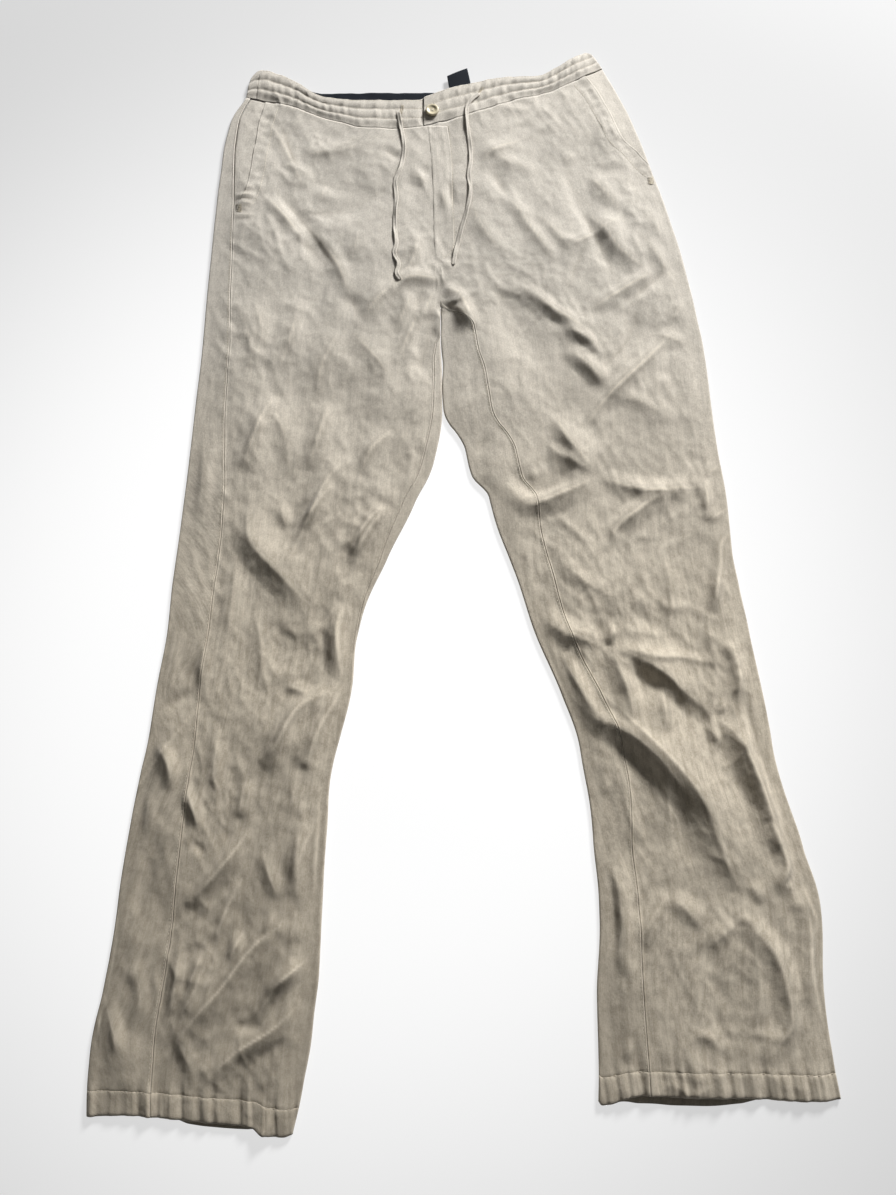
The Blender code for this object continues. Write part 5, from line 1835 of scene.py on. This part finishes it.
@functools.lru_cache(maxsize=1)
def floor_finish():
    """A plain pale table top, a little uneven, with a painted glow: it gives light by itself, brightest near
    one point and dimmer further out.
    """
    finish = Finish("pale_floor")
    place = finish.node("ShaderNodeTexCoord", output=3)
    light = tuple(bpy.context.scene.trouser_finish.floor)
    tone = finish.noise(place, 1.4, 2.0)
    colour = finish.mix(finish.between(tone, 0.3, 0.7), rgba(light, 0.985), rgba(light))
    finish.set(base_color=colour, roughness=0.92 + 0.04 * tone)
    finish.shader.inputs["Specular IOR Level"].default_value = 0.1
    # Painted light: the floor glows by itself, brightest near one point and dimmer further out.
    inputs = {0: place, 1: (*FLOOR_BRIGHT_PLACE, 0.0)}
    distance = finish.node("ShaderNodeVectorMath", {"operation": "DISTANCE"}, inputs, output=1)
    glow = finish.mix(finish.between(distance, *FLOOR_FADE), rgba((1, 1, 1)), rgba((0.5, 0.5, 0.5)))
    finish.set(emission_color=glow)
    finish.shader.inputs["Emission Strength"].default_value = bpy.context.scene.trouser_stage.floor_glow
    return finish.material


def cloth_thickness():
    return bpy.context.scene.trouser_sizes.cloth_thickness / MM


def the_legs():
    right = Leg("right", RIGHT_SECTIONS, RIGHT_POCKET, 292.0, RIGHT_NUDGES, RIGHT_HEM_LINE, RIGHT_HEM_PEEK)
    left = Leg("left", LEFT_SECTIONS, LEFT_POCKET, 300.0, LEFT_NUDGES, LEFT_HEM_LINE, LEFT_HEM_PEEK)
    return right, left


def add_light(name, size, energy, location):
    """A round soft light that faces the middle of the floor."""
    data = bpy.data.lights.new(name, "AREA")
    data.shape = "DISK"
    data.size = size
    data.energy = energy
    light = bpy.data.objects.new(name, data)
    light.location = location
    light.rotation_euler = (-Vector(location)).to_track_quat("-Z", "Y").to_euler()
    bpy.context.scene.collection.objects.link(light)


def add_stage():
    """A plain pale floor, soft light from the upper right, and the camera at the photograph's angle."""
    made = bmesh.new()
    bmesh.ops.create_grid(made, x_segments=8, y_segments=8, size=4.0)
    mesh = place_mesh(made, "floor", Matrix.Translation((0, 0, FLOOR_LEVEL * MM)))
    floor = bpy.data.objects.new("floor", mesh)
    floor.data.materials.append(floor_finish())
    bpy.context.scene.collection.objects.link(floor)

    stage = bpy.context.scene.trouser_stage
    add_light("key_light", KEY_SIZE, stage.key_power, KEY_PLACE)
    add_light("fill_light", FILL_SIZE, stage.fill_power, FILL_PLACE)
    world = bpy.data.worlds.new("studio")
    bpy.context.scene.world = world
    world.use_nodes = True
    sky = world.node_tree.nodes["Background"]
    sky.inputs["Color"].default_value = (1.0, 1.0, 1.0, 1.0)
    sky.inputs["Strength"].default_value = stage.sky_strength

    data = bpy.data.cameras.new("camera")
    data.sensor_fit = "VERTICAL"
    data.sensor_height = 36.0
    data.lens = CAMERA_LENS
    data.clip_start = 0.01
    camera = bpy.data.objects.new("camera", data)
    camera.location = CAMERA_PLACE
    camera.rotation_euler = (math.radians(CAMERA_TILT), 0.0, 0.0)
    bpy.context.scene.collection.objects.link(camera)
    bpy.context.scene.camera = camera
    bpy.context.scene.view_settings.view_transform = "Standard"


class TrouserSizes(bpy.types.PropertyGroup):
    """Sizes of the cloth and of its sewing."""

    cloth_thickness: bpy.props.FloatProperty(
        name="Cloth thickness",
        description="Thickness of one layer of the cotton",
        default=0.0007,
        unit="LENGTH",
        precision=4,
    )
    crease_scale: bpy.props.FloatProperty(
        name="Crease height",
        description="Height of the main creases, as a share of their own",
        default=1.75,
    )
    lump_height: bpy.props.FloatProperty(
        name="Lump height",
        description="Height of the broad soft lumps",
        default=0.0032,
        unit="LENGTH",
        precision=4,
    )
    crumple_height: bpy.props.FloatProperty(
        name="Crumple height",
        description="Height of the fine crumples",
        default=0.0022,
        unit="LENGTH",
        precision=4,
    )
    stitch_length: bpy.props.FloatProperty(
        name="Stitch length",
        description="Length of one stitch that shows",
        default=0.0025,
        unit="LENGTH",
        precision=4,
    )
    stitch_pitch: bpy.props.FloatProperty(
        name="Stitch pitch",
        description="Distance from one stitch to the next",
        default=0.0032,
        unit="LENGTH",
        precision=4,
    )
    stitch_radius: bpy.props.FloatProperty(
        name="Thread radius",
        description="Half the thickness of the thread",
        default=0.00028,
        unit="LENGTH",
        precision=5,
    )
    button_radius: bpy.props.FloatProperty(
        name="Button radius",
        description="Half the width of the button",
        default=0.0073,
        unit="LENGTH",
        precision=4,
    )
    button_height: bpy.props.FloatProperty(
        name="Button height",
        description="Thickness of the button at its rim",
        default=0.003,
        unit="LENGTH",
        precision=4,
    )
    tape_width: bpy.props.FloatProperty(
        name="Drawstring width",
        description="Width of the drawstring's tape",
        default=0.0045,
        unit="LENGTH",
        precision=4,
    )
    tape_thickness: bpy.props.FloatProperty(
        name="Drawstring thickness",
        description="Thickness of the folded tape",
        default=0.0013,
        unit="LENGTH",
        precision=4,
    )


class TrouserFinish(bpy.types.PropertyGroup):
    """Colours of the trousers and of the floor."""

    cotton_light: bpy.props.FloatVectorProperty(
        name="Cotton, light threads",
        description="Colour of the lighter threads",
        default=(0.60, 0.535, 0.43),
        subtype="COLOR",
    )
    cotton_dark: bpy.props.FloatVectorProperty(
        name="Cotton, dark threads",
        description="Colour of the darker threads",
        default=(0.43, 0.37, 0.285),
        subtype="COLOR",
    )
    thread: bpy.props.FloatVectorProperty(
        name="Thread",
        description="Colour of the sewing thread",
        default=(0.62, 0.56, 0.45),
        subtype="COLOR",
    )
    navy: bpy.props.FloatVectorProperty(
        name="Dark tape",
        description="Colour of the strip and tab inside the waist",
        default=(0.005, 0.007, 0.011),
        subtype="COLOR",
    )
    button: bpy.props.FloatVectorProperty(
        name="Button", description="Colour of the button", default=(0.60, 0.53, 0.37), subtype="COLOR"
    )
    floor: bpy.props.FloatVectorProperty(
        name="Floor", description="Colour of the floor", default=(0.30, 0.30, 0.30), subtype="COLOR"
    )


class TrouserStage(bpy.types.PropertyGroup):
    """Strengths of the studio's lights."""

    key_power: bpy.props.FloatProperty(
        name="Key light", description="Power of the light at the upper right", default=156.0, unit="POWER"
    )
    fill_power: bpy.props.FloatProperty(
        name="Fill light", description="Power of the broad light overhead", default=3.0, unit="POWER"
    )
    sky_strength: bpy.props.FloatProperty(
        name="Room light", description="Strength of the even light from all round", default=0.06
    )
    floor_glow: bpy.props.FloatProperty(
        name="Floor glow", description="Light that the table gives by itself", default=0.78
    )


class TROUSERS_OT_stage(bpy.types.Operator):
    """Set up the floor, the lights and the camera"""

    bl_idname = "trousers.stage"
    bl_label = "Stage"

    def execute(self, context):
        add_stage()
        return {"FINISHED"}


class TROUSERS_OT_fronts(bpy.types.Operator):
    """Lay the two front panels"""

    bl_idname = "trousers.fronts"
    bl_label = "Front Panels"

    def execute(self, context):
        right, left = the_legs()
        add_panel(right, "front", 412, (6, 86, 8, 8, 5))
        add_panel(left, "front", 412, (6, 8, 8, 88, 6))
        return {"FINISHED"}


class TROUSERS_OT_backs(bpy.types.Operator):
    """Lay the two back panels, turned up over the edges of the legs"""

    bl_idname = "trousers.backs"
    bl_label = "Back Panels"

    def execute(self, context):
        right, left = the_legs()
        add_panel(right, "back", 250, (5, 4, 8, 44, 8, 20, 6))
        add_panel(left, "back", 250, (6, 18, 8, 46, 4))
        return {"FINISHED"}


class TROUSERS_OT_pocket_facings(bpy.types.Operator):
    """Lay the cloth behind the slanted pockets"""

    bl_idname = "trousers.pocket_facings"
    bl_label = "Pocket Facings"

    def execute(self, context):
        right, left = the_legs()
        add_pocket_facing(right, 60, (12,))
        add_pocket_facing(left, 60, (6, 8, 8))
        return {"FINISHED"}


class TROUSERS_OT_hems(bpy.types.Operator):
    """Turn up the four hems"""

    bl_idname = "trousers.hems"
    bl_label = "Hems"

    def execute(self, context):
        right, left = the_legs()
        add_hem(right, "front", 16, (110, 8, 12))
        add_hem(right, "back", 16, (90, 8, 34))
        add_hem(left, "front", 16, (14, 8, 110))
        add_hem(left, "back", 16, (30, 8, 90))
        return {"FINISHED"}


class TROUSERS_OT_waistband(bpy.types.Operator):
    """Gather the waistband's front halves and its back"""

    bl_idname = "trousers.waistband"
    bl_label = "Waistband"

    def execute(self, context):
        add_front_band("right", 31, (170,))
        add_front_band("left", 31, (170, 8, 8))
        add_back_band(31, (150, 8, 10))
        return {"FINISHED"}


class TROUSERS_OT_dark_tapes(bpy.types.Operator):
    """Add the dark strip and the bare tab inside the back of the waist"""

    bl_idname = "trousers.dark_tapes"
    bl_label = "Dark Strip and Tab"

    def execute(self, context):
        add_back_facing(150)
        add_label(16)
        return {"FINISHED"}


class TROUSERS_OT_fly(bpy.types.Operator):
    """Lay the fly's overlap"""

    bl_idname = "trousers.fly"
    bl_label = "Fly"

    def execute(self, context):
        add_fly(110, 22)
        return {"FINISHED"}


class TROUSERS_OT_button(bpy.types.Operator):
    """Sew on the button"""

    bl_idname = "trousers.button"
    bl_label = "Button"

    def execute(self, context):
        sizes = context.scene.trouser_sizes
        add_button(sizes.button_radius / MM, sizes.button_height / MM)
        return {"FINISHED"}


class TROUSERS_OT_drawstring(bpy.types.Operator):
    """Lay the drawstring's two free ends, with the slits that they come out of"""

    bl_idname = "trousers.drawstring"
    bl_label = "Drawstring"

    def execute(self, context):
        add_tape("tape_right", RIGHT_TAPE, 121)
        add_tape("tape_left", LEFT_TAPE, 122)
        add_slits()
        return {"FINISHED"}


class TROUSERS_OT_stitching(bpy.types.Operator):
    """Sew the rows of stitching"""

    bl_idname = "trousers.stitching"
    bl_label = "Stitching"

    def execute(self, context):
        for leg in the_legs():
            add_seam_stitching(leg)
        add_waist_stitching()
        return {"FINISHED"}


PIECES = (
    TROUSERS_OT_stage,
    TROUSERS_OT_fronts,
    TROUSERS_OT_backs,
    TROUSERS_OT_pocket_facings,
    TROUSERS_OT_waistband,
    TROUSERS_OT_fly,
    TROUSERS_OT_hems,
    TROUSERS_OT_dark_tapes,
    TROUSERS_OT_button,
    TROUSERS_OT_drawstring,
    TROUSERS_OT_stitching,
)


class TROUSERS_PT_pieces(bpy.types.Panel):
    """Sizes, colours and pieces of the trousers"""

    bl_label = "Cotton Trousers"
    bl_idname = "TROUSERS_PT_pieces"
    bl_space_type = "VIEW_3D"
    bl_region_type = "UI"
    bl_category = "Trousers"

    def draw(self, context):
        column = self.layout.column()
        scene = context.scene
        for group in (scene.trouser_sizes, scene.trouser_finish, scene.trouser_stage):
            for name in group.__annotations__:
                column.prop(group, name)
        for piece in PIECES:
            column.operator(piece.bl_idname)


GROUPS = (TrouserSizes, TrouserFinish, TrouserStage)


def register():
    for made in (*GROUPS, *PIECES, TROUSERS_PT_pieces):
        bpy.utils.register_class(made)
    bpy.types.Scene.trouser_sizes = bpy.props.PointerProperty(type=TrouserSizes)
    bpy.types.Scene.trouser_finish = bpy.props.PointerProperty(type=TrouserFinish)
    bpy.types.Scene.trouser_stage = bpy.props.PointerProperty(type=TrouserStage)


def unregister():
    del bpy.types.Scene.trouser_stage
    del bpy.types.Scene.trouser_finish
    del bpy.types.Scene.trouser_sizes
    for made in reversed((*GROUPS, *PIECES, TROUSERS_PT_pieces)):
        bpy.utils.unregister_class(made)


def main():
    register()
    for piece in PIECES:
        group, name = piece.bl_idname.split(".")
        getattr(getattr(bpy.ops, group), name)()


if __name__ == "__main__":
    main()
